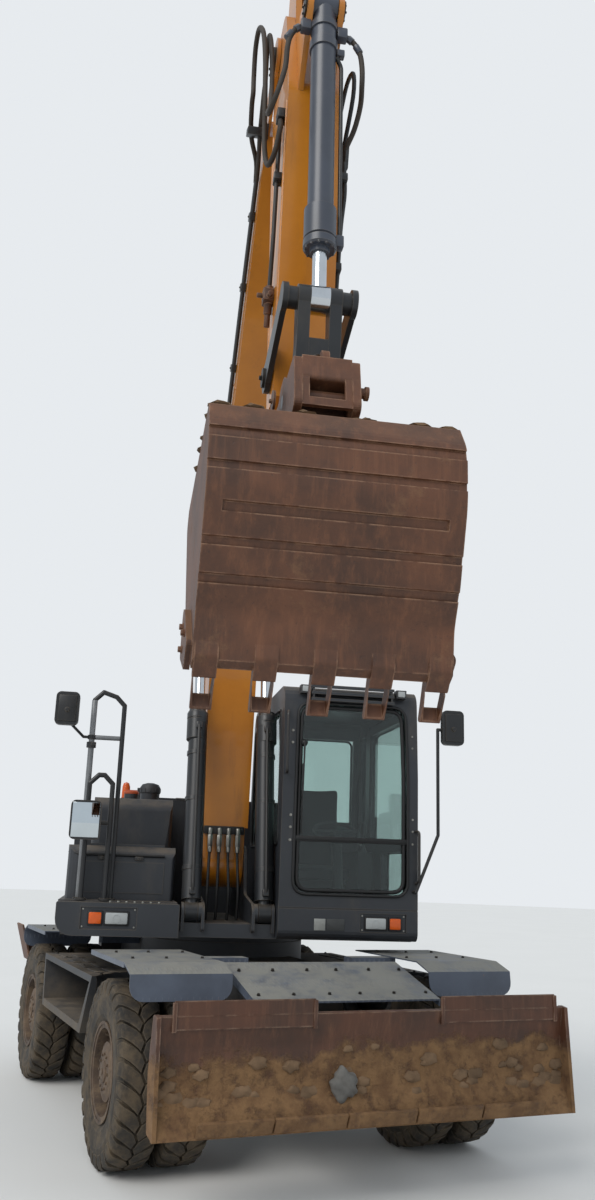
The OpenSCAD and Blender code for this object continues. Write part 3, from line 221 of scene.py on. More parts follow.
def bevel_edges(part, edges, width, segments=2):
    """Rounds the edges off."""
    bmesh.ops.bevel(part, geom=edges, offset=width, offset_type="OFFSET", segments=segments, profile=0.5,
                    material=-1, affect="EDGES", clamp_overlap=True)


class Shape:
    """A piece under construction, in the metres of a frame."""

    def __init__(self, base):
        self.base = base
        self.bm = bmesh.new()

    def take(self, part):
        """Joins a finished solid to the piece."""
        bmesh.ops.recalc_face_normals(part, faces=part.faces)
        data = bpy.data.meshes.new("part")
        part.to_mesh(data)
        part.free()
        self.bm.from_mesh(data)
        bpy.data.meshes.remove(data)

    def block(self, low, high, bevel, lean=0):
        """Box between two corners, leaned about its middle by degrees."""
        low, high = Vector(low), Vector(high)
        part = bmesh.new()
        bmesh.ops.create_cube(part, size=1)
        bmesh.ops.scale(part, vec=high - low, verts=part.verts)
        bevel_edges(part, part.edges[:], bevel)
        bmesh.ops.transform(part, matrix=Matrix.Translation((low + high) / 2) @ turn_x(lean), verts=part.verts)
        self.take(part)

    def slab(self, middle, size, bevel, lean=0):
        """Box of a size round its middle."""
        middle, half = Vector(middle), Vector(size) / 2
        self.block(middle - half, middle + half, bevel, lean)

    def rod(self, a, b, radius, end=None, sides=20, bevel=0.002):
        """Round bar from a to b, tapered to the radius end where one is given."""
        a, b = Vector(a), Vector(b)
        part = bmesh.new()
        bmesh.ops.create_cone(part, cap_ends=True, segments=sides, radius1=radius,
                              radius2=radius if end is None else end, depth=(b - a).length)
        if bevel:
            bevel_edges(part, [e for e in part.edges if any(len(f.verts) == sides for f in e.link_faces)], bevel)
        turn = (b - a).to_track_quat("Z", "Y").to_matrix().to_4x4()
        bmesh.ops.transform(part, matrix=Matrix.Translation((a + b) / 2) @ turn, verts=part.verts)
        self.take(part)

    def seam(self, x, a, b, radius):
        """Weld bead on a side, between two points [along, above]."""
        self.rod((x, *a), (x, *b), radius, sides=10, bevel=0)

    def turned(self, at, axis, profile, sides=32):
        """Turned solid: the profile gives [distance along the axis, radius]. It closes on the axis, or
        on itself where it starts off the axis."""
        at, axis = Vector(at), Vector(axis).normalized()
        out = axis.orthogonal().normalized()
        part = bmesh.new()
        verts = [part.verts.new(at + axis * d + out * r) for d, r in profile]
        edges = [part.edges.new(pair) for pair in zip(verts, verts[1:])]
        if profile[0][1] > 0:
            edges.append(part.edges.new((verts[-1], verts[0])))
        bmesh.ops.spin(part, geom=verts + edges, cent=at, axis=axis, angle=math.tau, steps=sides,
                       use_merge=True)
        bmesh.ops.remove_doubles(part, verts=part.verts, dist=1e-5)
        self.take(part)

    def disc(self, at, axis, radius, thick, sides):
        """Flat round plate that stands on a point."""
        self.turned(at, axis, [(0, 0), (0, radius), (thick, radius), (thick, 0)], sides)

    def ring(self, at, axis, inner, outer, width, sides=32):
        """Band round an axis, its edges eased."""
        e = 0.12 * min(outer - inner, width)
        self.turned(at, axis, [(-width / 2, inner), (-width / 2, outer - e), (e - width / 2, outer),
                               (width / 2 - e, outer), (width / 2, outer - e), (width / 2, inner)], sides)

    def bolt(self, at, axis, size):
        """Hexagon head on its washer, size across the washer."""
        at, axis = Vector(at), Vector(axis).normalized()
        self.rod(at - axis * 0.1 * size, at + axis * 0.14 * size, size / 2, sides=14, bevel=0)
        self.rod(at + axis * 0.13 * size, at + axis * 0.52 * size, 0.42 * size, 0.40 * size, 6, 0.03 * size)

    def bolt_ring(self, at, axis, radius, count, size, start=0.0):
        """Bolts on a circle, the first one that share of a step on."""
        at, axis = Vector(at), Vector(axis).normalized()
        out = axis.orthogonal().normalized() * radius
        for i in range(count):
            self.bolt(at + Matrix.Rotation(math.tau * (i + start) / count, 3, axis) @ out, axis, size)

    def pin_cap(self, at, side, radius, thick=0.012, circle=0.0):
        """Retaining plate of a pin, with four bolts on a circle or else one in the middle."""
        face = Vector((side, 0, 0))
        top = Vector(at) + face * thick
        self.disc(at, face, radius, thick, 28)
        if circle:
            self.bolt_ring(top, face, circle, 4, 0.016)
        else:
            self.bolt(top, face, 0.030)

    def done(self, name, body, material, *nodes):
        """Sets the piece in the row frame on its body. It stands for the CAD nodes named."""
        bmesh.ops.transform(self.bm, matrix=self.base, verts=self.bm.verts)
        bmesh.ops.recalc_face_normals(self.bm, faces=self.bm.faces)
        for face in self.bm.faces:
            face.smooth = True
        for edge in self.bm.edges:
            edge.smooth = edge.calc_face_angle(0) < math.radians(35)
        piece = mesh_object(name, self.bm)
        piece.data.materials.append(material)
        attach(piece, body)
        if nodes:
            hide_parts(*nodes)


def tube(name, radius, lines, cyclic=False):
    """Curve object, outside the scene, with a round tube along each line."""
    data = bpy.data.curves.new(name, "CURVE")
    data.dimensions = "3D"
    data.bevel_depth = radius
    data.bevel_resolution = 3
    data.use_fill_caps = not cyclic
    for line in lines:
        spline = data.splines.new("POLY")
        spline.points.add(len(line) - 1)
        for point, place in zip(spline.points, line):
            point.co = (*place, 1)
        spline.use_cyclic_u = cyclic
        spline.use_smooth = True
    return bpy.data.objects.new(name, data)


def pipes(name, body, material, base, radius, paths, bend=0.06, cyclic=False):
    """Round pipes along paths in a frame, their bends rounded."""
    piece = tube(name, radius, [[base @ p for p in rounded_path(path, bend)] for path in paths], cyclic)
    bpy.context.scene.collection.objects.link(piece)
    piece.data.materials.append(material)
    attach(piece, body)


def paint(red, green, blue):
    """Linear colour of screen values from 0 to 255."""
    return tuple((c / 255 / 12.92 if c <= 10 else ((c / 255 + 0.055) / 1.055) ** 2.4)
                 for c in (red, green, blue)) + (1,)


class Finish:
    """A node material. Its patterns read Object coordinates, in metres."""

    def __init__(self, name, roughness=0.5, metallic=0.0):
        self.material = bpy.data.materials.new(name)
        self.material.use_nodes = True
        self.nodes = self.material.node_tree.nodes
        self.links = self.material.node_tree.links
        self.shader = self.nodes["Principled BSDF"]
        self.shader.inputs["Roughness"].default_value = roughness
        self.shader.inputs["Metallic"].default_value = metallic
        self.coords = self.nodes.new("ShaderNodeTexCoord")
        self.place = self.coords.outputs["Object"]

    def put(self, node, inputs):
        """Sets or links a node's inputs, named or numbered."""
        for key, value in inputs.items():
            socket = node.inputs[key]
            if isinstance(value, bpy.types.NodeSocket):
                self.links.new(value, socket)
            else:
                socket.default_value = value

    def shade(self, **inputs):
        """Inputs of the surface shader, with underscores for spaces."""
        self.put(self.shader, {k.replace("_", " "): v for k, v in inputs.items()})

    def math(self, operation, a, b):
        """An operation on two values or sockets."""
        node = self.nodes.new("ShaderNodeMath")
        node.operation = operation
        self.put(node, {0: a, 1: b})
        return node.outputs[0]

    def times(self, a, b):
        return self.math("MULTIPLY", a, b)

    def plus(self, a, b):
        return self.math("ADD", a, b)

    def most(self, a, b):
        return self.math("MAXIMUM", a, b)

    def stretched(self, scale):
        """Object coordinates stretched along the axes."""
        node = self.nodes.new("ShaderNodeMapping")
        self.put(node, {"Vector": self.place, "Scale": scale})
        return node.outputs[0]

    def noise(self, scale, detail=5.0, roughness=0.6, stretch=None):
        """Clouds of that many cells a metre."""
        node = self.nodes.new("ShaderNodeTexNoise")
        place = self.stretched(stretch) if stretch else self.place
        self.put(node, {"Vector": place, "Scale": scale, "Detail": detail, "Roughness": roughness})
        return node.outputs[0]

    def ramp(self, value, low, high):
        """0 below low, 1 above high, smooth between them. High may lie below low."""
        node = self.nodes.new("ShaderNodeMapRange")
        node.interpolation_type = "SMOOTHSTEP"
        flip = low > high
        self.put(node, {"Value": value, "From Min": min(low, high), "From Max": max(low, high),
                        "To Min": 1.0 if flip else 0.0, "To Max": 0.0 if flip else 1.0})
        return node.outputs["Result"]

    def mix(self, factor, a, b):
        """Colour a where factor is 0, b where it is 1."""
        node = self.nodes.new("ShaderNodeMix")
        node.data_type = "RGBA"
        self.put(node, {0: factor, 6: a, 7: b})
        return node.outputs[2]

    def axis(self, name):
        """One of the object's coordinates."""
        node = self.nodes.new("ShaderNodeSeparateXYZ")
        self.links.new(self.place, node.inputs[0])
        return node.outputs[name]

    def faces_up(self, low=0.4, high=0.95):
        """1 on faces that look up at rest."""
        node = self.nodes.new("ShaderNodeSeparateXYZ")
        self.links.new(self.coords.outputs["Normal"], node.inputs[0])
        return self.ramp(node.outputs["Z"], low, high)

    def edges(self, radius=0.008):
        """1 along the sharp edges."""
        bevel = self.nodes.new("ShaderNodeBevel")
        bevel.samples = 4
        bevel.inputs["Radius"].default_value = radius
        flat = self.nodes.new("ShaderNodeNewGeometry")
        dot = self.nodes.new("ShaderNodeVectorMath")
        dot.operation = "DOT_PRODUCT"
        self.links.new(bevel.outputs[0], dot.inputs[0])
        self.links.new(flat.outputs["True Normal"], dot.inputs[1])
        return self.ramp(dot.outputs["Value"], 0.985, 0.90)

    def bump(self, height, distance, strength=1.0):
        """Bump of that height in metres, on the shader's normal."""
        node = self.nodes.new("ShaderNodeBump")
        self.put(node, {"Height": height, "Distance": distance, "Strength": strength})
        self.links.new(node.outputs[0], self.shader.inputs["Normal"])


def dusty_paint(name, colour, dust, roughness=0.42, dust_share=0.55, low_mud=0.0):
    """Sprayed paint with worn edges, a film of dust on what looks up, and mud splashed near the ground."""
    f = Finish(name, roughness)
    tone = f.mix(f.ramp(f.noise(2.2, 6), 0.35, 0.7), colour, tuple(0.78 * c for c in colour[:3]) + (1,))
    film = f.times(f.faces_up(0.35, 0.95), f.ramp(f.noise(7, 8, 0.7), 0.28, 0.62))
    film = f.times(film, dust_share)
    haze = f.times(f.ramp(f.noise(3.5, 9, 0.72, (1, 1, 0.35)), 0.5, 0.78), 0.35 * dust_share)
    film = f.most(film, haze)
    if low_mud:
        splash = f.plus(f.axis("Z"), f.times(f.noise(5, 9, 0.7), 0.9))
        film = f.most(film, f.times(f.ramp(splash, 1.5, 0.85), low_mud))
    f.shade(Base_Color=f.mix(film, f.mix(f.times(f.edges(), 0.35), tone, dust), dust))
    f.shade(Roughness=f.plus(roughness, f.times(film, 0.45)))
    f.bump(f.noise(90, 4), 0.0006, 0.35)
    return f.material


def yellow_paint(name):
    """Orange-yellow enamel of the arm, with grime that runs down and a few chips."""
    f = Finish(name, 0.36)
    enamel = f.mix(f.ramp(f.noise(1.3, 5), 0.3, 0.75), paint(192, 120, 20), paint(168, 101, 14))
    grime = f.ramp(f.noise(9, 8, 0.7, (1, 1, 0.12)), 0.52, 0.82)
    stain = f.ramp(f.noise(3, 9, 0.75), 0.60, 0.80)
    soiled = f.mix(f.times(grime, 0.45), enamel, paint(84, 56, 30))
    soiled = f.mix(f.times(stain, 0.5), soiled, paint(66, 46, 30))
    chips = f.times(f.edges(0.006), f.ramp(f.noise(30, 4), 0.50, 0.62))
    f.shade(Base_Color=f.mix(chips, soiled, paint(74, 60, 50)))
    f.shade(Roughness=f.plus(0.34, f.times(stain, 0.3)), Coat_Weight=0.25)
    f.bump(f.noise(70, 3), 0.0005, 0.3)
    return f.material


def scoured_rust(name, mud_share=0.4):
    """Bare digging steel: brown rust, scratches down the face and clay dried on it."""
    f = Finish(name, 0.62)
    base = f.mix(f.ramp(f.noise(2.5, 8, 0.65), 0.3, 0.7), paint(98, 60, 38), paint(64, 40, 27))
    streaks = f.ramp(f.noise(16, 9, 0.7, (1.6, 1.6, 0.10)), 0.45, 0.75)
    base = f.mix(f.times(streaks, 0.55), base, paint(122, 78, 50))
    pits = f.ramp(f.noise(60, 6, 0.7), 0.58, 0.75)
    base = f.mix(f.times(pits, 0.5), base, paint(52, 33, 26))
    rub = f.times(f.edges(0.010), f.ramp(f.noise(14, 4), 0.35, 0.6))
    base = f.mix(f.times(rub, 0.75), base, paint(158, 122, 96))
    clay = f.times(f.ramp(f.noise(4.5, 10, 0.74), 0.56, 0.66), mud_share)
    clay = f.most(clay, f.times(f.faces_up(0.45, 0.9), 0.6))
    f.shade(Base_Color=f.mix(clay, base, paint(124, 92, 64)))
    f.shade(Roughness=f.plus(0.55, f.times(clay, 0.35)))
    rough = f.plus(f.times(pits, -0.4), f.times(clay, f.noise(25, 8, 0.7)))
    f.bump(f.plus(rough, f.times(streaks, 0.2)), 0.004, 0.7)
    return f.material


def muddy_blade(name):
    """Blade: brown steel above, dried clay below an uneven line."""
    f = Finish(name, 0.6)
    steel = f.mix(f.ramp(f.noise(3, 8, 0.65), 0.3, 0.7), paint(84, 50, 32), paint(60, 38, 26))
    streaks = f.ramp(f.noise(14, 9, 0.7, (1.4, 1.4, 0.14)), 0.46, 0.78)
    steel = f.mix(f.times(streaks, 0.5), steel, paint(120, 80, 55))
    rub = f.times(f.edges(0.012), f.ramp(f.noise(14, 4), 0.35, 0.6))
    steel = f.mix(f.times(rub, 0.7), steel, paint(150, 124, 104))
    line = f.plus(f.axis("Z"), f.times(f.noise(3.2, 9, 0.7), 0.42))
    crust = f.ramp(line, 1.035, 0.965)
    crust = f.times(crust, f.ramp(f.noise(11, 8, 0.72), 0.22, 0.5))
    clay = f.mix(f.ramp(f.noise(8, 9, 0.7), 0.35, 0.7), paint(126, 96, 64), paint(96, 69, 45))
    f.shade(Base_Color=f.mix(crust, steel, clay))
    f.shade(Roughness=f.plus(0.55, f.times(crust, 0.38)))
    height = f.times(crust, f.plus(0.5, f.noise(22, 9, 0.72)))
    f.bump(f.plus(height, f.times(streaks, 0.1)), 0.014, 0.8)
    return f.material


def checker_plate(name):
    """Slate-blue tread plate: raised lozenges, pale dust on top, rust spots on the flaps."""
    f = Finish(name, 0.5)
    slate = f.mix(f.ramp(f.noise(3, 6), 0.35, 0.7), paint(84, 92, 106), paint(70, 76, 88))
    rows = []
    for spin in (45, -45):
        turn = f.nodes.new("ShaderNodeMapping")
        f.put(turn, {"Vector": f.place, "Rotation": (0, 0, math.radians(spin)), "Scale": (38, 14, 14)})
        cell = f.nodes.new("ShaderNodeTexVoronoi")
        f.put(cell, {"Vector": turn.outputs[0], "Scale": 1.0, "Randomness": 0.0})
        rows.append(f.ramp(cell.outputs["Distance"], 0.34, 0.22))
    lozenges = f.most(rows[0], rows[1])
    slate = f.mix(f.times(lozenges, 0.22), slate, paint(128, 134, 142))
    dust = f.times(f.faces_up(0.5, 0.97), f.ramp(f.noise(5, 9, 0.7), 0.22, 0.58))
    slate = f.mix(f.times(dust, 0.75), slate, paint(138, 136, 126))
    spots = f.ramp(f.noise(26, 7, 0.75), 0.66, 0.74)
    f.shade(Base_Color=f.mix(spots, slate, paint(132, 96, 66)))
    f.shade(Roughness=f.plus(0.42, f.times(dust, 0.4)))
    f.bump(lozenges, 0.0016, 0.8)
    return f.material


def tyre_rubber(name):
    """Dark rubber with dry earth rubbed into it."""
    f = Finish(name, 0.82)
    black = f.mix(f.ramp(f.noise(5, 6), 0.35, 0.65), paint(46, 43, 39), paint(33, 31, 29))
    dust = f.ramp(f.noise(7, 10, 0.75), 0.36, 0.68)
    soiled = f.mix(f.times(dust, 0.62), black, paint(106, 90, 68))
    worn = f.times(f.edges(0.008), 0.45)
    f.shade(Base_Color=f.mix(worn, soiled, paint(112, 100, 82)))
    f.bump(f.noise(45, 8, 0.7), 0.002, 0.6)
    return f.material


def dusty_rim(name):
    """Painted rim under dry mud, rust at its edges."""
    f = Finish(name, 0.7)
    base = f.mix(f.ramp(f.noise(6, 8, 0.7), 0.35, 0.65), paint(92, 74, 58), paint(60, 48, 40))
    dust = f.ramp(f.noise(9, 9, 0.72), 0.42, 0.66)
    f.shade(Base_Color=f.mix(f.times(dust, 0.6), base, paint(124, 104, 80)))
    f.bump(f.noise(40, 8, 0.7), 0.002, 0.6)
    return f.material


def bright_rod(name):
    """Hard-chromed rod with a light film of oil."""
    f = Finish(name, 0.14, 1.0)
    f.shade(Base_Color=f.mix(f.noise(12, 4), paint(214, 218, 222), paint(190, 194, 198)))
    f.shade(Roughness=f.plus(0.08, f.times(f.noise(20, 6), 0.14)))
    return f.material


def plain(name, colour, roughness=0.5, metallic=0.0, grain=60.0, depth=0.0005, vary=0.25):
    """Simple finish that varies a little in tone and grain."""
    f = Finish(name, roughness, metallic)
    darker = tuple((1 - vary) * c for c in colour[:3]) + (1,)
    f.shade(Base_Color=f.mix(f.ramp(f.noise(9, 6), 0.3, 0.7), colour, darker))
    f.bump(f.noise(grain, 4), depth, 0.4)
    return f.material


def tinted_glass(name, tint, roughness=0.03):
    """Clear toughened glass with a faint film of dust."""
    f = Finish(name, roughness)
    f.shade(Base_Color=tint, Transmission_Weight=1.0, IOR=1.45)
    f.shade(Roughness=f.times(f.ramp(f.noise(3, 8, 0.7), 0.45, 0.8), 0.16))
    return f.material


def floor_finish():
    """Pale floor that shows the same tone as the background, and keeps the shadow."""
    f = Finish("floor_finish", 0.9)
    f.shade(Base_Color=f.mix(f.noise(0.6, 3), paint(222, 222, 220), paint(216, 216, 214)))
    return f.material


photo_camera()
studio()

DUST = paint(112, 100, 84)
charcoal = dusty_paint("charcoal_paint", paint(43, 46, 51), DUST)
chassis_black = dusty_paint("chassis_paint", paint(50, 52, 56), DUST, 0.55, 0.8, 0.75)
cylinder_grey = dusty_paint("cylinder_grey", paint(64, 69, 80), paint(120, 112, 100), 0.34, 0.35)
cylinder_black = dusty_paint("cylinder_black", paint(34, 36, 39), DUST, 0.36, 0.35)
rail_black = dusty_paint("rail_black", paint(30, 31, 33), DUST, 0.4, 0.5)
enamel = yellow_paint("yellow_enamel")
digging_steel = scoured_rust("digging_steel", 0.35)
coupler_steel = scoured_rust("coupler_steel", 0.7)
pad_rust = scoured_rust("pad_rust", 0.6)
blade_steel = muddy_blade("blade_steel")
slate_plate = checker_plate("slate_plate")
rubber = tyre_rubber("tyre_rubber")
rim_steel = dusty_rim("rim_steel")
chrome = bright_rod("chromed_rod")
cab_pane = tinted_glass("cab_pane", paint(196, 214, 210))
seat_cloth = plain("seat_cloth", paint(38, 39, 42), 0.85, 0, 400, 0.001)
cab_plastic = plain("cab_plastic", paint(44, 46, 49), 0.6)
lamp_lens = plain("lamp_lens", paint(200, 204, 206), 0.15)
engine_grey = dusty_paint("engine_grey", paint(70, 72, 74), DUST, 0.5, 0.6)
exhaust_black = plain("exhaust_black", paint(26, 25, 25), 0.7)

hose_rubber = plain("hose_rubber", paint(30, 30, 31), 0.62, 0, 220, 0.0006)
brown_hose = plain("brown_hose", paint(58, 50, 42), 0.7, 0, 160, 0.0008, 0.35)
seal_rubber = plain("seal_rubber", paint(18, 18, 19), 0.55)
zinc = plain("zinc_fitting", paint(168, 166, 158), 0.34, 0.85, 120, 0.0005, 0.35)
dull_bolt = plain("dull_bolt", paint(62, 58, 54), 0.5, 0.6, 140, 0.0006, 0.4)
rail_grey = plain("rail_grey", paint(128, 130, 132), 0.4, 0.3, 80, 0.0004, 0.3)
amber_lens = plain("amber_lens", paint(216, 92, 22), 0.18, 0, 240, 0.0012, 0.2)
red_lens = plain("red_lens", paint(150, 22, 18), 0.18, 0, 240, 0.0012, 0.2)
clear_lens = plain("clear_lens", paint(168, 172, 172), 0.10, 0, 260, 0.0015, 0.15)
mirror_glass = plain("mirror_glass", paint(206, 214, 218), 0.03, 1.0, 5, 0.0, 0.05)
pale_plate = plain("pale_plate", paint(150, 152, 148), 0.45, 0, 90, 0.0004, 0.3)
dark_plate = plain("dark_plate", paint(58, 60, 60), 0.5, 0, 90, 0.0004, 0.3)
dry_clay = plain("dry_clay", paint(120, 96, 72), 0.95, 0, 45, 0.004, 0.45)
grey_clay = plain("grey_clay", paint(112, 110, 106), 0.95, 0, 30, 0.006, 0.4)

FINISHES = {
    charcoal: ["deck", "counterweight", "hood_frame", "hood_lid", "side_door_left", "side_door_right",
               "tanks", "cab_shell", "cab_door"],
    chassis_black: ["chassis_frame", "side_steps", "front_axle", "rear_axle", "drive_line", "knuckle_left",
                    "knuckle_right", "blade_arms", "blade_links"],
    slate_plate: ["fenders"],
    rubber: ["tyres_" + place for place in WHEELS],
    rim_steel: ["rims_" + place for place in WHEELS],
    blade_steel: ["blade"],
    pad_rust: ["outrigger_left", "outrigger_right"],
    cylinder_black: ["blade_cylinders", "outrigger_cylinder_left", "outrigger_cylinder_right",
                     "boom_cylinders", "stick_cylinder", "rocker", "link"],
    cylinder_grey: ["bucket_cylinder"],
    chrome: ["blade_rods", "outrigger_rod_left", "outrigger_rod_right", "boom_rods", "stick_rod",
             "bucket_rod"],
    rail_black: ["handrails", "mirrors"],
    enamel: ["boom", "stick"],
    coupler_steel: ["coupler"],
    digging_steel: ["bucket"],
    cab_pane: ["cab_glass", "door_glass"],
    seat_cloth: ["seat"],
    cab_plastic: ["console"],
    lamp_lens: ["lamps"],
    engine_grey: ["engine"],
    exhaust_black: ["exhaust"],
}


def finish_cad_nodes():
    """Gives every CAD node its finish."""
    for material, names in FINISHES.items():
        for name in names:
            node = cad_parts[name]
            node.data.materials.clear()
            node.data.materials.append(material)


# Half section of a tyre from its bead: [distance from its middle, radius]
CARCASS = [(0.097, 0.256), (0.106, 0.262), (0.1075, 0.284), (0.117, 0.300), (0.1235, 0.316), (0.1262, 0.319),
           (0.1268, 0.325), (0.1262, 0.331), (0.1300, 0.350), (0.1322, 0.378), (0.1318, 0.402), (0.1335, 0.405),
           (0.1330, 0.412), (0.1285, 0.440), (0.1180, 0.468), (0.1060, 0.487), (0.0800, 0.497), (0.0400, 0.500)]
# Along a lug from the middle of the tread: foot and top as [distance, radius], sweep and half width in pitches
LUG = [((0.004, 0.499), (0.004, 0.5250), 0.80, 0.440), ((0.034, 0.4985), (0.034, 0.5248), 0.60, 0.430),
       ((0.070, 0.496), (0.070, 0.5235), 0.37, 0.410), ((0.098, 0.490), (0.104, 0.5190), 0.18, 0.385),
       ((0.110, 0.479), (0.1225, 0.5080), 0.06, 0.370), ((0.120, 0.459), (0.1315, 0.4800), 0.01, 0.350),
       ((0.127, 0.436), (0.1325, 0.4400), 0.00, 0.310)]
LUG_COUNT = 30
LUG_PITCH = math.tau / LUG_COUNT


def tread_half():
    """The swept lugs on one half of a tread, round the X axis, their inner ends in a zigzag."""
    part = bmesh.new()
    bmesh.ops.create_cube(part, size=1)
    for axis, cuts in ((0, len(LUG) - 2), (1, 1)):
        along = [e for e in part.edges if abs(e.verts[0].co[axis] - e.verts[1].co[axis]) > 0.5]
        bmesh.ops.subdivide_edges(part, edges=along, cuts=cuts, use_grid_fill=True)

    def on_side(edge, k):
        return all(abs(v.co[k]) > 0.49 and v.co[k] * edge.verts[0].co[k] > 0 for v in edge.verts)

    rim = [e for e in part.edges if all(v.co.z > 0 for v in e.verts) and (on_side(e, 0) or on_side(e, 1))]
    for v in part.verts:
        foot, top, sweep, half = LUG[round((v.co.x + 0.5) * (len(LUG) - 1))]
        raised = v.co.z > 0
        x, radius = top if raised else foot
        side = round(2 * v.co.y)
        if v.co.x < -0.49:
            x += 0.012 if side else -0.010
        angle = (sweep + side * half * (1 if raised else 1.08)) * LUG_PITCH
        v.co = (x, radius * math.sin(angle), radius * math.cos(angle))
    bevel_edges(part, rim, 0.0035, 1)
    bmesh.ops.spin(part, geom=part.verts[:] + part.edges[:] + part.faces[:], cent=(0, 0, 0), axis=(1, 0, 0),
                   angle=LUG_PITCH - math.tau, steps=LUG_COUNT - 1, use_duplicate=True)
    return part


def tyres():
    """Twin tyres with swept shoulder lugs."""
    for place, (side, y) in WHEELS.items():
        twin = Shape(CHASSIS)
        for x in (TYRE_IN, TYRE_OUT):
            hub = Matrix.Translation((side * x, y, TYRE_R))
            twin.turned(hub.translation, ACROSS, CARCASS + [(-d, r) for d, r in reversed(CARCASS)], 72)
            for half_side, turn in ((1, 0), (-1, LUG_PITCH / 2)):
                half = tread_half()
                place_half = Matrix.Rotation(turn, 4, "X") @ Matrix.Diagonal((half_side, -1, 1, 1))
                bmesh.ops.transform(half, matrix=hub @ place_half, verts=half.verts)
                twin.take(half)
        twin.done("tyre_treads_" + place, "wheels_" + place, rubber, "tyres_" + place)


def wheel_trim():
    """Nuts, hub bolts, lock ring and valve of each wheel."""
    for place, (side, y) in WHEELS.items():
        trim = Shape(CHASSIS)
        face = (side, 0, 0)

        def off(reach, back=0.0, rise=0.0):
            """Point beyond the outer tyre's middle, set off from the axle."""
            return (side * (TYRE_OUT + reach), y + back, TYRE_R + rise)

        trim.bolt_ring(off(0.020), face, 0.177, 10, 0.026)
        trim.bolt_ring(off(0.104), face, 0.098, 12, 0.018, 0.5)
        trim.turned(off(0.104), face, [(-0.004, 0), (-0.004, 0.062), (0.006, 0.060), (0.010, 0.052), (0.010, 0)])
        trim.rod(off(0.112), off(0.119), 0.020, sides=6)
        trim.ring(off(0.1175), face, 0.262, 0.281, 0.006, 72)
        trim.ring(off(0.060), face, 0.1655, 0.172, 0.012, 48)
        trim.rod(off(0.02, 0.12, 0.175), off(0.08, 0.13, 0.19), 0.006)
        trim.done("wheel_nuts_" + place, "wheels_" + place, rim_steel)


def chassis_trim():
    """Bolts of fenders, steps and front cover, and the tread strips on the steps."""
    bolts, grips = Shape(CHASSIS), Shape(CHASSIS)
    for side in SIDES:
        for y, turn in ((FRONT_Y, 1), (REAR_Y, -1)):
            for x in (0.72, 0.95, 1.16):
                for back in (-0.18, 0.24):
                    bolts.bolt((side * x, y + turn * back, FENDER_TOP), UP, PLATE_BOLT)
        for y in (-1.00, -0.45, 0.20, 0.58):
            bolts.bolt((side * 1.18, y, STEP_TOP), UP, PLATE_BOLT)
        for x in (0.10, 0.33, 0.55):
            bolts.bolt((side * x, -1.90, 1.1265), (0, -0.20, 1), PLATE_BOLT)
            bolts.bolt((side * x, -2.24, 1.0255), (0, -0.28, 1), PLATE_BOLT)
        for y in (-0.78, -0.42, -0.06, 0.30):
            for x in (1.07, 1.17):
                grips.slab((side * x, y, STEP_TOP + 0.0025), (0.06, 0.26, 0.007), 0.002)
    bolts.done("fender_bolts", "chassis", dull_bolt)
    grips.done("step_grips", "chassis", chassis_black)


def lump(shape, radius, stretch, at, ripple, detail=2):
    """A clod: a ball whose skin the ripple swells and sinks, stretched and set in place."""
    ball = bmesh.new()
    bmesh.ops.create_icosphere(ball, subdivisions=detail, radius=radius)
    for v in ball.verts:
        v.co *= 1 + ripple(v.co)
    bmesh.ops.scale(ball, vec=stretch, verts=ball.verts)
    bmesh.ops.translate(ball, vec=at, verts=ball.verts)
    shape.take(ball)


def blade_details():
    """The blade's worn cutting edge and stiffeners, and the clay dried on its face."""
    edge = Shape(CHASSIS)
    for x in (-0.84, -0.42, 0, 0.42, 0.84):
        edge.slab((x, -2.732, 0.460), (0.410, 0.020, 0.080), 0.004, 24)
    for i in range(10):
        x = i * 0.21 - 0.945
        edge.rod((x, -2.722, 0.474), (x, -2.738, 0.481), 0.013, 0.011)
    for x in (-1.169, -0.378, 0.417, 1.192):
        edge.slab((x, -2.6615, 0.9775), (0.024, 0.013, 0.145), 0.003)
    edge.done("blade_edge_plates", "blade_body", blade_steel)

    clods = Shape(CHASSIS)
    for i in range(46):
        z = 0.56 + 0.26 * (0.5 + 0.5 * math.sin(i * 1.7 + 1)) * abs(math.cos(i * 0.9))
        depth = BLADE_FACE - 0.09 * max(0.0, (0.606 - z) / 0.19) ** 1.4
        lump(clods, 0.016 + 0.014 * abs(math.sin(i * 3.1)), (1.8, 0.6, 1.1), (1.22 * math.sin(i * 2.39), depth, z),
             lambda p: 0.22 * math.sin(p.x * 190 + i) * math.cos(p.z * 150 - i))
    clods.done("blade_clods", "blade_body", dry_clay)
    clod = Shape(CHASSIS)
    lump(clod, 0.075, (1.05, 0.55, 1.1), (-0.19, -2.652, 0.62),
         lambda p: 0.16 * math.sin(p.x * 61) * math.cos(p.z * 47) + 0.07 * math.sin(p.z * 130 + p.x * 90), 4)
    clod.done("blade_grey_clod", "blade_body", grey_clay)


def outrigger_caps():
    """Pin caps of the outriggers."""
    for name, side in (("left", 1), ("right", -1)):
        pins = Shape(CHASSIS)
        for y, facing in ((1.885, -1), (2.075, 1)):
            pins.disc((side * 0.52, y - 0.012, 0.56), ALONG, 0.045, 0.024, 24)
            pins.bolt((side * 0.545, y, 0.585), (0, facing, 0), 0.018)
        pins.done("outrigger_pin_caps_" + name, "chassis", dull_bolt)


def cab_front(z):
    """Front face of the cab at a height: it leans back above the windscreen's middle."""
    return CAB_FRONT + max(0, z - 2.4) * 0.0615


def closed(points):
    """A closed outline, opened in the middle of its first side so that every corner is rounded."""
    first = (Vector(points[0]) + Vector(points[1])) / 2
    return [first, *points[1:], points[0], first - (first - Vector(points[0])) * 0.02]


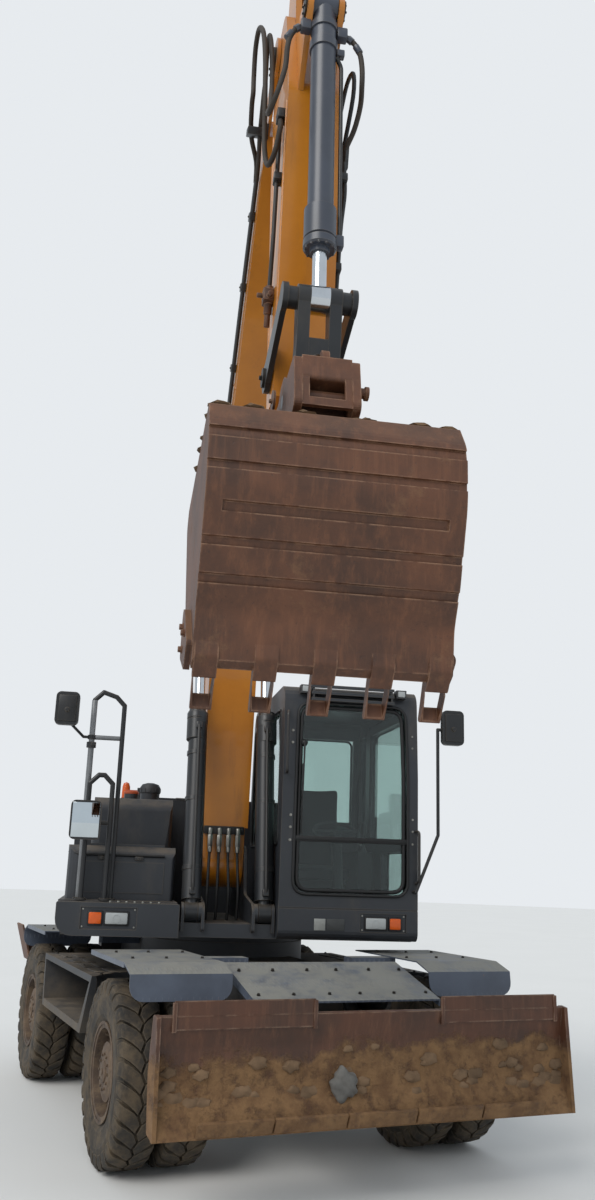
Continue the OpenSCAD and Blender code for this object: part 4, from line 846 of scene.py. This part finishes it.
def windscreen():
    """Seal, inner frame and bar of the windscreen, its wiper, and the grab rails."""
    screen = [(0.345, 1.565), (1.179, 1.565), (1.176, 2.40), (1.164, 2.92), (0.355, 2.92), (0.348, 2.40)]
    inset = 0.028
    outer = [(x, cab_front(z) - 0.004, z) for x, z in screen]
    inner = [(x + math.copysign(inset, 0.7 - x), cab_front(z) + 0.012,
              z + (inset if z < 2 else -inset if z > 2.9 else 0)) for x, z in screen]
    pipes("windscreen_seal", "house", seal_rubber, HOUSE, 0.011, [closed(outer)], 0.10, True)
    pipes("windscreen_frame", "house", seal_rubber, HOUSE, 0.015, [closed(inner)], 0.09, True)
    bar = Shape(HOUSE)
    bar.block((0.345, -1.210, 1.933), (1.179, -1.172, 1.963), 0.006)
    bar.block((0.352, -1.206, 1.925), (1.172, -1.180, 1.934), 0.002)
    bar.done("windscreen_bar", "house", seal_rubber)

    wiper = Shape(HOUSE)
    wiper.turned((0.400, -1.184, 2.620), AHEAD,
                 [(0, 0), (0, 0.026), (0.022, 0.024), (0.034, 0.014), (0.040, 0)], 24)
    wiper.rod((0.400, -1.215, 2.620), (0.396, -1.222, 2.300), 0.007, 0.005)
    wiper.block((0.386, -1.222, 1.975), (0.398, -1.214, 2.470), 0.003)
    wiper.block((0.390, -1.214, 1.975), (0.394, -1.196, 2.470), 0.001)
    wiper.rod((0.396, -1.222, 2.300), (0.392, -1.222, 2.220), 0.006)
    wiper.done("wiper", "house", seal_rubber)
    pipes("cab_grab_rail", "house", rail_black, HOUSE, 0.010,
          [[(0.278, -1.170, 2.84), (0.266, -1.262, 2.84), (0.268, -1.272, 2.40), (0.280, -1.196, 2.40)],
           [(1.238, -1.196, 1.66), (1.246, -1.262, 1.66), (1.246, -1.262, 2.02), (1.238, -1.196, 2.02)]], 0.04)


def front_fittings():
    """Bolts and blank plates on the cab's and the platform's front, and every lamp's lens and bezel."""
    trim = Shape(HOUSE)
    for z in (2.708, 2.621, 2.104, 2.020, 1.931):
        trim.bolt((0.316, cab_front(z), z), AHEAD, 0.020)
        trim.bolt((1.214, cab_front(z), z), AHEAD, 0.016)
    for y, columns, rows in ((CAB_SKIRT, (0.852, 1.154), (1.334, 1.430)),
                             (PLATFORM_FRONT, (-1.075, -0.730), (1.315, 1.428))):
        for x in columns:
            for z in rows:
                trim.bolt((x, y, z), AHEAD, 0.012)
    for i in range(7):
        trim.bolt((i * 0.055 - 0.90, -1.150, 1.472), UP, 0.020)
    trim.done("cab_bolts", "house", zinc)

    for name, x0, x1, material in (("pale", 0.506, 0.586, pale_plate), ("dark", 0.594, 0.722, dark_plate)):
        plate = Shape(HOUSE)
        plate.block((x0, -1.205, 1.326), (x1, -1.198, 1.404), 0.002)
        for x in (x0 + 0.008, x1 - 0.008):
            plate.rod((x, -1.204, 1.365), (x, -1.208, 1.365), 0.0035, sides=10, bevel=0)
        plate.done("blank_plate_" + name, "house", material)

    heads, amber, red, bezels = (Shape(HOUSE) for _ in range(4))
    for lenses, x0, x1, z, y in (
            (heads, -0.925, -0.775, 1.333, PLATFORM_FRONT), (heads, 0.876, 1.023, 1.341, CAB_SKIRT),
            (amber, -1.035, -0.950, 1.333, PLATFORM_FRONT), (amber, 1.050, 1.130, 1.341, CAB_SKIRT)):
        margin, bevel = (0.010, 0.010) if lenses is heads else (0.008, 0.009)
        lenses.block((x0, y - 0.020, z), (x1, y, z + LAMP_HIGH), bevel)
        bezels.block((x0 - margin, y - 0.013, z - 0.010), (x1 + margin, y + 0.004, z + LAMP_HIGH + 0.010), 0.006)
        if lenses is heads:
            heads.ring(((x0 + x1) / 2, y - 0.019, z + LAMP_HIGH / 2), ALONG, 0.022, 0.028, 0.006)
    for x in (0.37, 1.094):
        heads.block((x, -1.224, 2.994), (x + 0.055, -1.212, 3.037), 0.006)
    for x in (1.00, -1.00):
        red.block((x - 0.095, 1.950, 1.820), (x + 0.010, 1.973, 1.890), 0.008)
        red.block((x + 0.015, 1.950, 1.820), (x + 0.095, 1.973, 1.890), 0.008)
    heads.done("headlamp_lenses", "house", clear_lens, "lamps")
    amber.done("indicator_lenses", "house", amber_lens)
    red.done("rear_lamp_lenses", "house", red_lens)
    bezels.done("lamp_bezels", "house", seal_rubber)


def mirror_details():
    """Glass of the mirrors, and the raised backs of the high ones."""
    faces, backs = Shape(HOUSE), Shape(HOUSE)
    for x, y, z, width, depth, height in MIRROR_HEADS:
        face = y + depth
        faces.block((x + 0.012, face - 0.004, z + 0.014), (x + width - 0.012, face + 0.003, z + height - 0.014), 0.002)
        if z > 2:
            backs.block((x + 0.020, y - 0.008, z + 0.025), (x + width - 0.020, y + 0.002, z + height - 0.025), 0.010)
            middle = (x + width / 2, z + height * 0.45)
            backs.rod((middle[0], y - 0.022, middle[1]), (middle[0], y + 0.01, middle[1]), 0.016)
    faces.block((-1.203, -1.183, 1.895), (-1.017, -1.177, 2.130), 0.002)
    faces.done("mirror_faces", "house", mirror_glass)
    backs.done("mirror_backs", "house", rail_black)


def side_windows():
    """Seals of the side panes and the rear window, and the door's handle."""
    def outline(x, corners):
        return closed([(x, -reach, z) for reach, z in corners])

    pipes("side_window_seals", "house", seal_rubber, HOUSE, 0.010, [
        outline(0.250, [(1.08, 1.90), (1.04, 2.88), (-0.38, 2.88), (-0.38, 1.90)]),
        outline(1.254, [(-0.18, 1.95), (-0.18, 2.88), (-0.42, 2.88), (-0.42, 1.95)]),
        closed([(0.36, 0.520, 2.05), (1.144, 0.520, 2.05), (1.144, 0.512, 2.86), (0.36, 0.512, 2.86)])], 0.06, True)
    pipes("door_seals", "cab_door_body", seal_rubber, HOUSE, 0.009, [
        outline(1.266, [(1.00, 1.96), (1.00, 2.50), (0.93, 2.86), (-0.05, 2.86), (-0.05, 1.96)]),
        outline(1.266, [(1.00, 1.44), (1.00, 1.88), (0.35, 1.88), (0.35, 1.44)])], 0.06, True)
    handle = Shape(HOUSE)
    handle.block((1.262, -1.020, 1.898), (1.274, -0.840, 1.944), 0.005)
    handle.block((1.272, -1.000, 1.910), (1.284, -0.880, 1.932), 0.005)
    handle.rod((1.264, -0.860, 1.921), (1.277, -0.860, 1.921), 0.009)
    handle.done("door_handle", "cab_door_body", rail_black)


def cushion(name, middle, size, lean):
    """Crowned foam pad whose sides pull in between its corners, with two sewn channels."""
    part = bmesh.new()
    bmesh.ops.create_cube(part, size=1)
    bmesh.ops.subdivide_edges(part, edges=part.edges[:], cuts=9, use_grid_fill=True)
    thin = size.index(min(size))
    wide = [k for k in range(3) if k != thin]
    for v in part.verts:
        across, along = (2 * v.co[k] for k in wide)
        crown = (1 - across ** 2) * (1 - along ** 2)
        channel = 0.05 * math.exp(-((abs(across) - 0.55) / 0.07) ** 2) * crown
        v.co[thin] *= 0.72 + 0.30 * crown - 4 * channel * abs(v.co[thin])
        v.co[wide[0]] *= 1 - 0.05 * (1 - along ** 2)
        v.co[wide[1]] *= 1 - 0.05 * (1 - across ** 2)
    bmesh.ops.scale(part, vec=size, verts=part.verts)
    bmesh.ops.transform(part, matrix=HOUSE @ Matrix.Translation(middle) @ turn_x(lean), verts=part.verts)
    bmesh.ops.recalc_face_normals(part, faces=part.faces)
    for face in part.faces:
        face.smooth = True
    piece = mesh_object(name, part)
    piece.data.materials.append(seat_cloth)
    smooth = piece.modifiers.new("soft", "SUBSURF")
    smooth.levels = smooth.render_levels = 1
    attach(piece, "house")


def cab_inside():
    """Seat, levers, monitor and pedals."""
    base = Shape(HOUSE)
    base.block((0.545, -0.06, 1.425), (0.959, 0.28, 1.500), 0.012)
    base.block((0.585, -0.02, 1.495), (0.919, 0.24, 1.655), 0.020)
    for x in (0.52, 0.984):
        base.slab((x, 0.14, 1.64), (0.044, 0.24, 0.04), 0.010)
    base.done("seat_base", "house", cab_plastic, "seat")
    cushion("seat_cushion", (SEAT_X, 0.105, 1.715), (0.485, 0.50, 0.11), 4)
    cushion("seat_back", (SEAT_X, 0.320, 2.080), (0.470, 0.105, 0.66), -8)
    levers = Shape(HOUSE)
    for x in (0.415, 1.074):
        levers.turned((x, -0.26, 1.880), UP, [(0, 0), (0, 0.036), (0.03, 0.024), (0.06, 0.010), (0.06, 0)], 20)
        levers.rod((x, -0.26, 1.935), (x, -0.275, 2.02), 0.009)
        levers.turned((x, -0.275, 2.010), (0, -0.15, 1),
                      [(0, 0), (0.005, 0.020), (0.06, 0.024), (0.10, 0.020), (0.115, 0)], 20)
    levers.block((0.335, -0.98, 1.86), (0.365, -0.84, 2.00), 0.008)
    levers.rod((0.350, -0.90, 1.60), (0.350, -0.90, 1.87), 0.012)
    for x in (0.66, 0.83):
        levers.slab((x, -1.01, 1.4775), (0.08, 0.16, 0.015), 0.004, -28)
    levers.done("cab_levers", "house", cab_plastic)


def platform_details():
    """Sleeve and clamps of the rails, seal and latches of the boxes."""
    x, y = TALL_POST
    sleeve = Shape(HOUSE)
    sleeve.rod((x, y, 1.494), (x, y, 2.868), 0.0205)
    sleeve.rod((x, y, 2.600), (-0.922, y, 2.600), 0.0165)
    sleeve.done("rail_sleeve", "house", rail_grey)
    clamps = Shape(HOUSE)
    clamps.ring((x, y, 2.545), UP, 0.018, 0.034, 0.040)
    clamps.ring((x, y, 2.600), UP, 0.018, 0.030, 0.030)
    clamps.block((x, -1.040, 2.540), (x + 0.030, -1.010, 2.560), 0.003)
    for foot_x, foot_y in (TALL_POST, (-0.905, -1.0), (-1.105, -1.06), (-0.945, -1.06)):
        for side in SIDES:
            clamps.bolt((foot_x + side * 0.026, foot_y + side * 0.012, 1.492), UP, 0.012)
    clamps.done("rail_clamps", "house", rail_black)
    pipes("tank_seal", "house", seal_rubber, HOUSE, 0.010, [
        [(-1.222, -0.10, 1.800), (-1.212, -0.835, 1.800), (-1.150, -0.904, 1.788), (-0.540, -0.904, 1.788)]], 0.06)
    latches = Shape(HOUSE)
    for x in (-0.72, -0.98):
        latches.slab((x, -0.908, 1.766), (0.06, 0.020, 0.028), 0.005)
        latches.rod((x, -0.916, 1.766), (x, -0.924, 1.766), 0.009)
    for x in (-0.36, 0.55):
        latches.slab((x, 1.637, 2.19), (0.10, 0.018, 0.04), 0.005)
    latches.done("box_latches", "house", rail_black)


def roof_details():
    """Beacon, tank cap, intake hood and exhaust stack."""
    beacon, dome, cap, intake, stack = (Shape(HOUSE) for _ in range(5))
    beacon.turned((*BEACON_AT, 2.212), UP, [(0, 0), (0, 0.042), (0.03, 0.040), (0.03, 0)], 28)
    beacon.done("beacon_foot", "house", seal_rubber)
    dome.turned((*BEACON_AT, 2.242), UP, [(0, 0), (0, 0.034), (0.09, 0.031), (0.118, 0.022), (0.128, 0)], 28)
    dome.done("beacon_dome", "house", amber_lens)
    cap.turned((-0.800, -0.250, 2.260), UP, [(0, 0), (0, 0.058), (0.014, 0.058), (0.022, 0.050), (0.022, 0)], 28)
    cap.slab((-0.800, -0.250, 2.285), (0.090, 0.016, 0.014), 0.004)
    cap.done("tank_cap", "house", plain("orange_cap", paint(168, 70, 24), 0.5))
    x, y = INTAKE_AT
    rim = 0.086
    intake.turned((x, y, 2.290), UP, [(0, 0), (0, 0.070), (0.018, rim), (0.060, rim), (0.088, 0.068),
                                      (0.100, 0.030), (0.102, 0)], 36)
    for i in range(12):
        a = math.tau * i / 12
        intake.slab((x + rim * math.cos(a), y + rim * math.sin(a), 2.330), (0.006, 0.006, 0.032), 0.001)
    intake.done("intake_hood", "house", cab_plastic)
    stack.turned((*EXHAUST_AT, 2.150), UP, [(0, 0.040), (0, 0.045), (0.20, 0.045), (0.205, 0.049), (0.225, 0.049),
                                            (0.23, 0.045), (0.285, 0.045), (0.285, 0.040)], 36)
    stack.disc((*EXHAUST_AT, 2.151), UP, 0.041, 0.011, 24)
    stack.ring((*EXHAUST_AT, 2.250), UP, 0.044, 0.050, 0.016)
    stack.done("exhaust_stack", "house", exhaust_black, "exhaust")


def cylinder_head(shape, x, end, radius, rod, bolts=10, sleeve=0.16, swell=0.014):
    """Gland at the rod's end of a barrel: sleeve, bolted flange and wiper neck."""
    wide, flange, groove = radius + swell, radius + 1.15 * swell, radius + 0.4 * swell
    shape.turned((x, end, 0), ALONG, [
        (-sleeve - 0.06, radius - 0.004), (-sleeve - 0.05, wide), (-0.060, wide), (-0.055, groove), (-0.045, groove),
        (-0.045, flange), (-0.004, flange), (0.004, radius + 0.5 * swell), (0.004, rod + 0.016),
        (0.030, rod + 0.012), (0.030, rod + 0.001), (-sleeve - 0.06, rod + 0.001)], 40)
    shape.bolt_ring((x, end + 0.003, 0), ALONG, flange - 0.012, bolts, 0.016)


def boom_cylinder_details():
    """Glands, bands and feed pipes of the boom cylinders, kept clear of the boom that they pass."""
    heads = Shape(BOOM_CYLINDER)
    feeds = []
    for side in SIDES:
        x = side * BOOM_CYL_X
        cylinder_head(heads, x * 1.038, BOOM_CYL_END, 0.070, 0.051, swell=0.0065)
        for along in (0.30, 0.80, 1.15):
            heads.ring((x * 1.014, along, 0), ALONG, 0.066, 0.0725, 0.030)
        heads.slab((x, 0.1275, -0.081), (0.044, 0.045, 0.038), 0.005)
        heads.slab((x, BOOM_CYL_END - 0.125, -0.096), (0.044, 0.050, 0.032), 0.005)
        feeds.append([(x, 0.128, -0.090), (x, 0.170, -0.106), (x, BOOM_CYL_END - 0.20, -0.106),
                      (x, BOOM_CYL_END - 0.125, -0.104)])
    heads.done("boom_cylinder_heads", "boom_cylinders_body", cylinder_black)
    pipes("boom_cylinder_pipes", "boom_cylinders_body", rail_black, BOOM_CYLINDER, 0.012, feeds, 0.03)


def boom_pipes():
    """Pipes on the boom: on its top where the boom cylinders pass its sides, and on its sides beyond."""
    routes = []
    clamps = Shape(BOOM)
    for side in SIDES:
        out = side * PIPE_X
        for drop in (0, 0.065):
            top, over = side * (0.150 - 0.6 * drop), 2.38 - drop
            on_top = [(top, 0.45, 0.51), (top, 1.20, 0.975), (top, 2.20, 1.30), (top, over, 1.345)]
            across = [(out, over + 0.10, 1.335), (out, 2.62 - drop, 1.18 - drop)]
            line = ((2.90, 1.00), (3.50, 0.83), (4.37, 0.56), (5.05, 0.315))
            routes.append(on_top + across + [(out, along, above - drop) for along, above in line])
        for along, above in ((2.75, 1.09), (3.15, 0.93), (3.75, 0.75), (4.33, 0.57), (4.80, 0.405)):
            clamps.slab((side * 0.204, along, above - 0.030), (0.042, 0.060, 0.110), 0.005)
            clamps.bolt((side * 0.224, along, above - 0.028), (side, 0, 0), 0.018)
        for along, above, slope in ((0.80, 0.715, 31.7), (1.70, 1.125, 17.8)):
            clamps.slab((side * 0.131, along, above + 0.003), (0.096, 0.060, 0.050), 0.005, slope)
        clamps.slab((side * 0.250, 5.290, 0.0825), (0.130, 0.050, 0.125), 0.006)
        clamps.slab((side * 0.190, 5.290, 0.080), (0.020, 0.100, 0.160), 0.004)
    pipes("boom_pipes", "boom_body", rail_black, BOOM, 0.0135, routes, 0.12)
    clamps.done("boom_pipe_clamps", "boom_body", rail_black)


def boom_details():
    """Pin caps and weld seams of the boom, and the fittings under its foot."""
    caps, seams, foot, nuts = (Shape(BOOM) for _ in range(4))
    for side in SIDES:
        face = (side, 0, 0)
        caps.turned((side * 0.184, BOOM_LEN, 0), face, [(0, 0), (0, 0.095), (0.014, 0.095), (0.018, 0.088), (0.018, 0)])
        caps.bolt_ring((side * 0.202, BOOM_LEN, 0), face, 0.070, 6, 0.020)
        caps.pin_cap((side * 0.121, 3.045, 1.425), side, 0.062, circle=0.042)
        for a, b in (((3.60, 0.56), (3.66, 1.02)), ((5.25, 0.10), (5.30, 0.33))):
            seams.seam(side * BOOM_SIDE, a, b, 0.006)
    caps.done("boom_pin_caps", "boom_body", dull_bolt)
    seams.done("boom_weld_seams", "boom_body", enamel)

    foot.block((-0.155, 0.285, -0.075), (0.155, 0.345, -0.030), 0.006, 22)
    foot.done("foot_manifold", "boom_body", rail_black)
    for x in FOOT_HOSES_X:
        at = Vector((x, 0.300, -0.105))
        nuts.rod(at, at + Vector((0, -0.075, -0.045)), 0.021, sides=6)
        nuts.rod(at + Vector((0, 0.04, 0.03)), at, 0.017)
        nuts.rod(at + Vector((0, -0.072, -0.043)), at + Vector((0, -0.11, -0.066)), 0.017)
    nuts.done("foot_fittings", "boom_body", zinc)


def stick_cylinder_details():
    """Gland, bands and pipe of the cylinder on the boom's back."""
    head = Shape(STICK_CYLINDER)
    cylinder_head(head, 0, STICK_CYL_END, 0.085, 0.048, 12, 0.20)
    for along in (0.22, 0.75, 1.30):
        head.ring((0, along, 0), ALONG, 0.081, 0.090, 0.045)
    head.slab((0, STICK_CYL_END - 0.15, 0.112), (0.060, 0.060, 0.036), 0.006)
    head.slab((0, 0.16, 0.099), (0.060, 0.060, 0.038), 0.006)
    head.done("stick_cylinder_head", "stick_cylinder_body", cylinder_grey)
    pipes("stick_cylinder_pipe", "stick_cylinder_body", rail_black, STICK_CYLINDER, 0.013,
          [[(0, 0.16, 0.105), (0, 0.22, 0.122), (0, STICK_CYL_END - 0.24, 0.122),
            (0, STICK_CYL_END - 0.15, 0.118)]], 0.04)


def bucket_cylinder_details():
    """Gland, bands, elbows and pipe of the cylinder in front of the stick."""
    head = Shape(BUCKET_CYLINDER)
    cylinder_head(head, 0, BUCKET_CYL_END, 0.073, 0.038, 12, 0.19)
    for along, width in ((0.150, 0.045), (0.285, 0.060)):
        head.ring((0, along, 0), ALONG, 0.069, 0.079, width)
    head.block((0.075, 0.290, -0.020), (0.120, 0.335, 0.020), 0.006)
    head.bolt((0.098, 0.336, 0), ALONG, 0.020)
    head.block((0.078, BUCKET_CYL_END - 0.09, -0.025), (0.125, BUCKET_CYL_END - 0.02, 0.025), 0.006)
    for side, along in ((-1, 0.140), (1, 0.165)):
        head.slab((side * 0.105, along + 0.006, 0), (0.060, 0.072, 0.056), 0.008)
        head.rod((side * 0.140, along + 0.018, 0), (side * 0.166, along + 0.042, 0), 0.021, sides=6)
        head.rod((side * 0.186, along + 0.066, 0), (side * 0.212, along + 0.112, 0), 0.019)
    head.done("bucket_cylinder_head", "bucket_cylinder_body", cylinder_grey)
    pipes("bucket_cylinder_pipe", "bucket_cylinder_body", rail_black, BUCKET_CYLINDER, 0.012,
          [[(0.070, 0.36, 0.02), (0.104, 0.40, 0), (0.104, BUCKET_CYL_END - 0.05, 0)]], 0.03)


def stick_details():
    """Pipes, clamps and valve on the stick's sides, its pin caps and weld seams."""
    x = -0.186
    pipes("stick_pipes", "stick_body", rail_black, STICK, 0.013, [
        [(x, 0.84, 0.335), (x, 1.09, 0.28), (x, 1.60, 0.16), (x, 1.86, 0.06)],
        [(0.190, 1.10, 0.30), (0.190, 1.45, 0.22), (0.190, 1.95, 0.05)],
        [(0.190, 1.12, 0.36), (0.205, 1.30, 0.32), (0.190, 1.50, 0.27), (0.190, 2.02, 0.09)]], 0.06)
    fittings, valve, caps, seams = (Shape(STICK) for _ in range(4))
    fittings.block((-0.208, 0.780, 0.300), (-0.160, 0.850, 0.375), 0.006)
    fittings.block((-0.206, 1.18, 0.215), (-0.160, 1.23, 0.285), 0.005)
    fittings.block((0.160, 1.20, 0.24), (0.212, 1.25, 0.37), 0.005)
    fittings.block((0.160, 1.72, 0.10), (0.206, 1.77, 0.22), 0.005)
    fittings.rod((0.200, 1.00, 0.36), (0.196, 1.14, 0.335), 0.024, sides=6)
    fittings.done("stick_pipe_clamps", "stick_body", rail_black)
    valve.rod((x, 1.83, 0.070), (x, 1.98, 0.010), 0.024)
    valve.block((-0.222, 1.845, 0.005), (-0.160, 1.930, 0.085), 0.008)
    valve.rod((x, 1.90, 0.075), (x, 1.915, 0.125), 0.016, sides=6)
    valve.rod((-0.215, 1.88, 0.045), (-0.255, 1.88, 0.045), 0.014)
    valve.rod((x, 1.975, 0.012), (x, 2.05, -0.015), 0.017)
    valve.done("stick_valve", "stick_body", coupler_steel)

    for side in SIDES:
        caps.pin_cap((side * 0.105, 0.353, 0.704), side, 0.060, circle=0.0372)
        caps.pin_cap((side * 0.104, -0.645, 0.216), side, 0.062, circle=0.03844)
        caps.pin_cap((side * 0.195, 2.420, 0.020), side, 0.055, 0.014)
        for a, b in (((0.30, -0.14), (0.30, 0.36)), ((0.75, 0.40), (2.45, 0.14)), ((0.50, -0.13), (2.45, -0.08))):
            seams.seam(side * STICK_SIDE, a, b, 0.005)
    caps.done("stick_pin_caps", "stick_body", dull_bolt)
    seams.done("stick_weld_seams", "stick_body", enamel)


def bucket_details():
    """Pin caps of the coupler, tooth pins, cutter bolts, and clay on the bucket's top."""
    coupler, pins, crust = (Shape(COUPLER) for _ in range(3))
    coupler.turned((0.165, 0.740, -0.105), ACROSS,
                   [(-0.010, 0), (-0.010, 0.026), (0.030, 0.026), (0.030, 0.034), (0.048, 0.034), (0.048, 0)], 24)
    for i in range(5):
        x = (i / 4 - 0.5) * 1.008
        pins.rod((x - 0.058, 0.690, -1.445), (x + 0.058, 0.690, -1.445), 0.013)
    for side in SIDES:
        face = (side, 0, 0)
        coupler.bolt_ring((side * 0.160, 0.20, -0.08), face, 0.05, 4, 0.022)
        for along in (0.0, 0.456):
            coupler.pin_cap((side * 0.198, along, 0), side, 0.056)
        for along, above in ((0.420, -1.245), (0.560, -1.330), (0.400, -1.345)):
            pins.bolt((side * 0.588, along, above), face, 0.036)
    coupler.done("coupler_pin_caps", "bucket_body", coupler_steel)
    pins.done("bucket_pins", "bucket_body", digging_steel)
    for i in range(70):
        along = 0.30 + 0.66 * abs(math.sin(i * 1.37))
        above = -0.346 - 0.0679 * (along + 0.12)
        lump(crust, 0.014 + 0.016 * abs(math.sin(i * 2.7)), (1.9, 1.4, 0.45), (0.53 * math.sin(i * 2.39), along, above),
             lambda p: 0.22 * math.sin(p.x * 200 + i) * math.cos(p.y * 170 - i))
    crust.done("bucket_clay", "bucket_body", dry_clay)


def smooth_route(points, steps=4):
    """A flowing line through the points."""
    ends = [2 * points[0] - points[1]] + points + [2 * points[-1] - points[-2]]
    line = []
    for a, b, c, d in zip(ends, ends[1:], ends[2:], ends[3:]):
        for i in range(steps):
            t = i / steps
            line.append(0.5 * (2 * b + (c - a) * t + (2 * a - 5 * b + 4 * c - d) * t ** 2
                               + (3 * b - a - 3 * c + d) * t ** 3))
    return line + [points[-1]]


# Hoses: name, material, diameter, body at its start, body at its end, route as [frame, points]
HOSES = [
    ("hose_loop_outer", brown_hose, 0.032, "boom_body", "stick_body",
     [(BOOM, [(-0.205, 5.02, 0.325), (-0.222, 5.14, 0.245), (-0.280, 5.28, 0.150), (-0.300, 5.44, 0.070),
              (-0.301, 5.52, 0.045)]),
      (STICK, [(-0.300, -0.02, -0.15), (-0.305, -0.18, -0.06), (-0.300, -0.20, 0.07), (-0.285, -0.04, 0.18),
               (-0.275, 0.25, 0.24), (-0.268, 0.60, 0.24), (-0.258, 0.92, 0.20), (-0.240, 1.10, 0.24),
               (-0.215, 1.10, 0.34), (-0.192, 0.95, 0.37), (-0.186, 0.85, 0.345)])]),
    ("hose_loop_inner", brown_hose, 0.030, "boom_body", "stick_body",
     [(BOOM, [(-0.205, 5.02, 0.260), (-0.212, 5.14, 0.180), (-0.228, 5.28, 0.085), (-0.235, 5.44, 0.000),
              (-0.236, 5.52, -0.020)]),
      (STICK, [(-0.225, 0.02, -0.12), (-0.230, -0.13, -0.04), (-0.235, -0.13, 0.09), (-0.232, 0.05, 0.18),
               (-0.228, 0.38, 0.23), (-0.245, 0.72, 0.33), (-0.275, 0.92, 0.45), (-0.282, 1.05, 0.57),
               (-0.255, 1.00, 0.66)]),
      (BUCKET_CYLINDER, [(-0.214, 0.46, -0.01), (-0.206, 0.32, 0), (-0.190, 0.235, 0), (-0.150, 0.165, 0),
                         (-0.086, 0.140, 0)])]),
    ("hose_elbow_right", brown_hose, 0.030, "stick_body", "bucket_cylinder_body",
     [(STICK, [(0.184, 1.10, 0.335), (0.200, 1.02, 0.370), (0.232, 0.95, 0.450), (0.248, 0.86, 0.535)]),
      (BUCKET_CYLINDER, [(0.228, 0.50, -0.02), (0.224, 0.38, 0), (0.206, 0.265, 0), (0.158, 0.195, 0),
                         (0.088, 0.165, 0)])]),
    ("hose_inner_right", hose_rubber, 0.026, "stick_body", "stick_body",
     [(STICK, [(0.184, 1.12, 0.275), (0.196, 0.98, 0.330), (0.222, 0.72, 0.47), (0.232, 0.50, 0.44),
               (0.228, 0.42, 0.30), (0.215, 0.52, 0.18), (0.190, 0.72, 0.12), (0.168, 0.86, 0.10),
               (0.150, 0.90, 0.09)])]),
]
# The four hoses under the boom's foot: across the boom, then across the house, and how far [y, z] each hangs
OUTER_HANG = [(-0.625, 1.650), (-0.650, 1.540), (-0.640, 1.440), (-0.620, 1.345), (-0.600, 1.275)]
INNER_HANG = [(-0.632, 1.650), (-0.660, 1.540), (-0.650, 1.440), (-0.630, 1.345), (-0.600, 1.275)]
for number, (foot_x, bend_x, first_x, deck_x, hang) in enumerate(
        zip(FOOT_HOSES_X, (-0.107, -0.036, 0.036, 0.107), (-0.197, -0.125, -0.045, 0.027),
            (-0.200, -0.128, -0.042, 0.030), (OUTER_HANG, INNER_HANG, INNER_HANG, OUTER_HANG)), 1):
    HOSES.append((f"hose_foot_{number}", hose_rubber, 0.022, "boom_body", "house", [
        (BOOM, [(foot_x, 0.290, -0.078), (foot_x, 0.245, -0.118), (foot_x, 0.200, -0.165), (bend_x, 0.150, -0.200)]),
        (HOUSE, [(first_x, *hang[0])] + [(deck_x, *point) for point in hang[1:]])]))


def hoses():
    """Hydraulic hoses, each one free between its two fittings."""
    for name, material, diameter, start, end, parts in HOSES:
        route = smooth_route([base @ Vector(p) for base, points in parts for p in points])
        line = tube(name, diameter / 2, [route])
        skin = bpy.data.meshes.new_from_object(line)
        bpy.data.curves.remove(line.data)
        hose = bpy.data.objects.new(name, skin)
        bpy.context.scene.collection.objects.link(hose)
        hose.data.materials.clear()
        hose.data.materials.append(material)
        for face in hose.data.polygons:
            face.use_smooth = True
        if start == end:
            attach(hose, start)
        else:
            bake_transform(hose)


for build in (finish_cad_nodes, tyres, wheel_trim, chassis_trim, blade_details, outrigger_caps, windscreen,
              front_fittings, mirror_details, side_windows, cab_inside, platform_details, roof_details,
              boom_cylinder_details, boom_pipes, boom_details, stick_cylinder_details, bucket_cylinder_details,
              stick_details, bucket_details, hoses):
    build()
